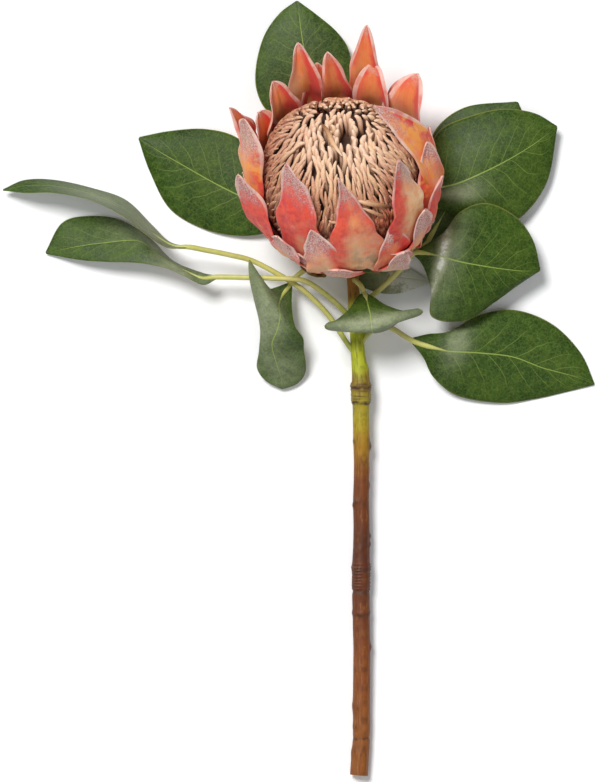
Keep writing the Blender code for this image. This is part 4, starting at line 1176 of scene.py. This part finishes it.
def make_leaf(name, plan, blade, stalk):
    """A leaf: its blade, and its stalk that runs on into the midrib."""
    patches, route, *edges = plan
    grid = leaf_grid(route, *edges)
    normals = grid_normals(grid)
    along = np.linspace(0, 1, LEAF_STATIONS)[:, None]
    across = np.linspace(-1, 1, LEAF_COLUMNS)[None, :]
    if normals[..., 2].mean() < 0:
        grid, normals = grid[:, ::-1], -normals[:, ::-1]
        across = -across
    half_width = np.linalg.norm(grid[:, -1] - grid[:, 0], axis=1)[:, None] / 2 + 0.5
    aside = half_width * across
    groove = MIDRIB_DEPTH * (np.exp(-((aside / MIDRIB_HALF) ** 2)) * (1 - 0.5 * along))
    grid = grid - normals * groove[..., None]
    # Painted sheen: grey highlight patches over the blade, kept as a value of its points.
    painted_sheen = leaf_painted_sheen(patches, along, across)
    skin = Skin(*LEAF_VALUES)
    points, faces, values = plate(grid, np.full(grid.shape[:2], LEAF_THICKNESS))
    values["aside"] = np.concatenate([aside, aside[:, ::-1]], axis=1)
    values["painted_sheen"] = np.concatenate([painted_sheen, painted_sheen[:, ::-1]], axis=1)
    skin.add(points, faces, **values)
    path = [seen(*point) for point in route]
    path += [grid[LEAF_STATIONS // part, LEAF_COLUMNS // 2] for part in STALK_END_PARTS]
    places = np.linspace(0, 1, 6 * len(path))
    stalk_radii = (STALK_RADIUS, STALK_RADIUS, STALK_TIP_RADIUS)
    radii = np.interp(places, (0, STALK_TAPER_START, 1), stalk_radii)
    points, faces = tube(even_curve(path, len(places)), radii, STALK_SIDES)
    skin.add(points, faces, slot=1, along=np.repeat(places, STALK_SIDES))
    skin.piece(name + "_blade", [blade, stalk], name)


def make_floor():
    """A pale floor just under the flower."""
    mesh = bpy.data.meshes.new("floor")
    corners = [(x * FLOOR_REACH, y * FLOOR_REACH, -FLOOR_DROP) for x, y in FLOOR_CORNERS]
    mesh.from_pydata(corners, [], [(0, 1, 2, 3)])
    floor = add_object("floor", mesh)
    paint = Paint("floor_white", {"Base Color": (0.93, 0.93, 0.93, 1), "Roughness": 0.9})
    mesh.materials.append(paint.material)


def make_light():
    """One wide soft sun, a weak second one and a pale sky."""
    for name, (strength, angle, turn) in SUNS.items():
        lamp = bpy.data.lights.new(name, "SUN")
        lamp.energy = strength
        lamp.angle = math.radians(angle)
        add_object(name, lamp).rotation_euler = [math.radians(value) for value in turn]
    world = bpy.data.worlds.new("sky")
    world.use_nodes = True
    sky = world.node_tree.nodes["Background"]
    sky.inputs["Color"].default_value = (0.95, 0.97, 1.0, 1)
    sky.inputs["Strength"].default_value = SKY_STRENGTH
    bpy.context.scene.world = world
    bpy.context.scene.view_settings.view_transform = "Standard"


def make_camera():
    """A camera straight above, at the plan view's own scale."""
    data = bpy.data.cameras.new("camera")
    data.sensor_width = 36.0
    data.lens = EYE_HEIGHT * data.sensor_width / (FRAME_SIZE[1] * MM_PER_PIXEL)
    data.clip_end = 50.0
    camera = add_object("camera", data)
    camera.location = EYE * MM
    bpy.context.scene.camera = camera


make_camera()
make_floor()
make_light()
make_stem(bark_paint())
make_bracts(bract_paint())
make_florets(floret_paint())
blade_material, stalk_material = leaf_paint(), stalk_paint()
for leaf_name, leaf_plan in LEAVES.items():
    make_leaf(leaf_name, leaf_plan, blade_material, stalk_material)
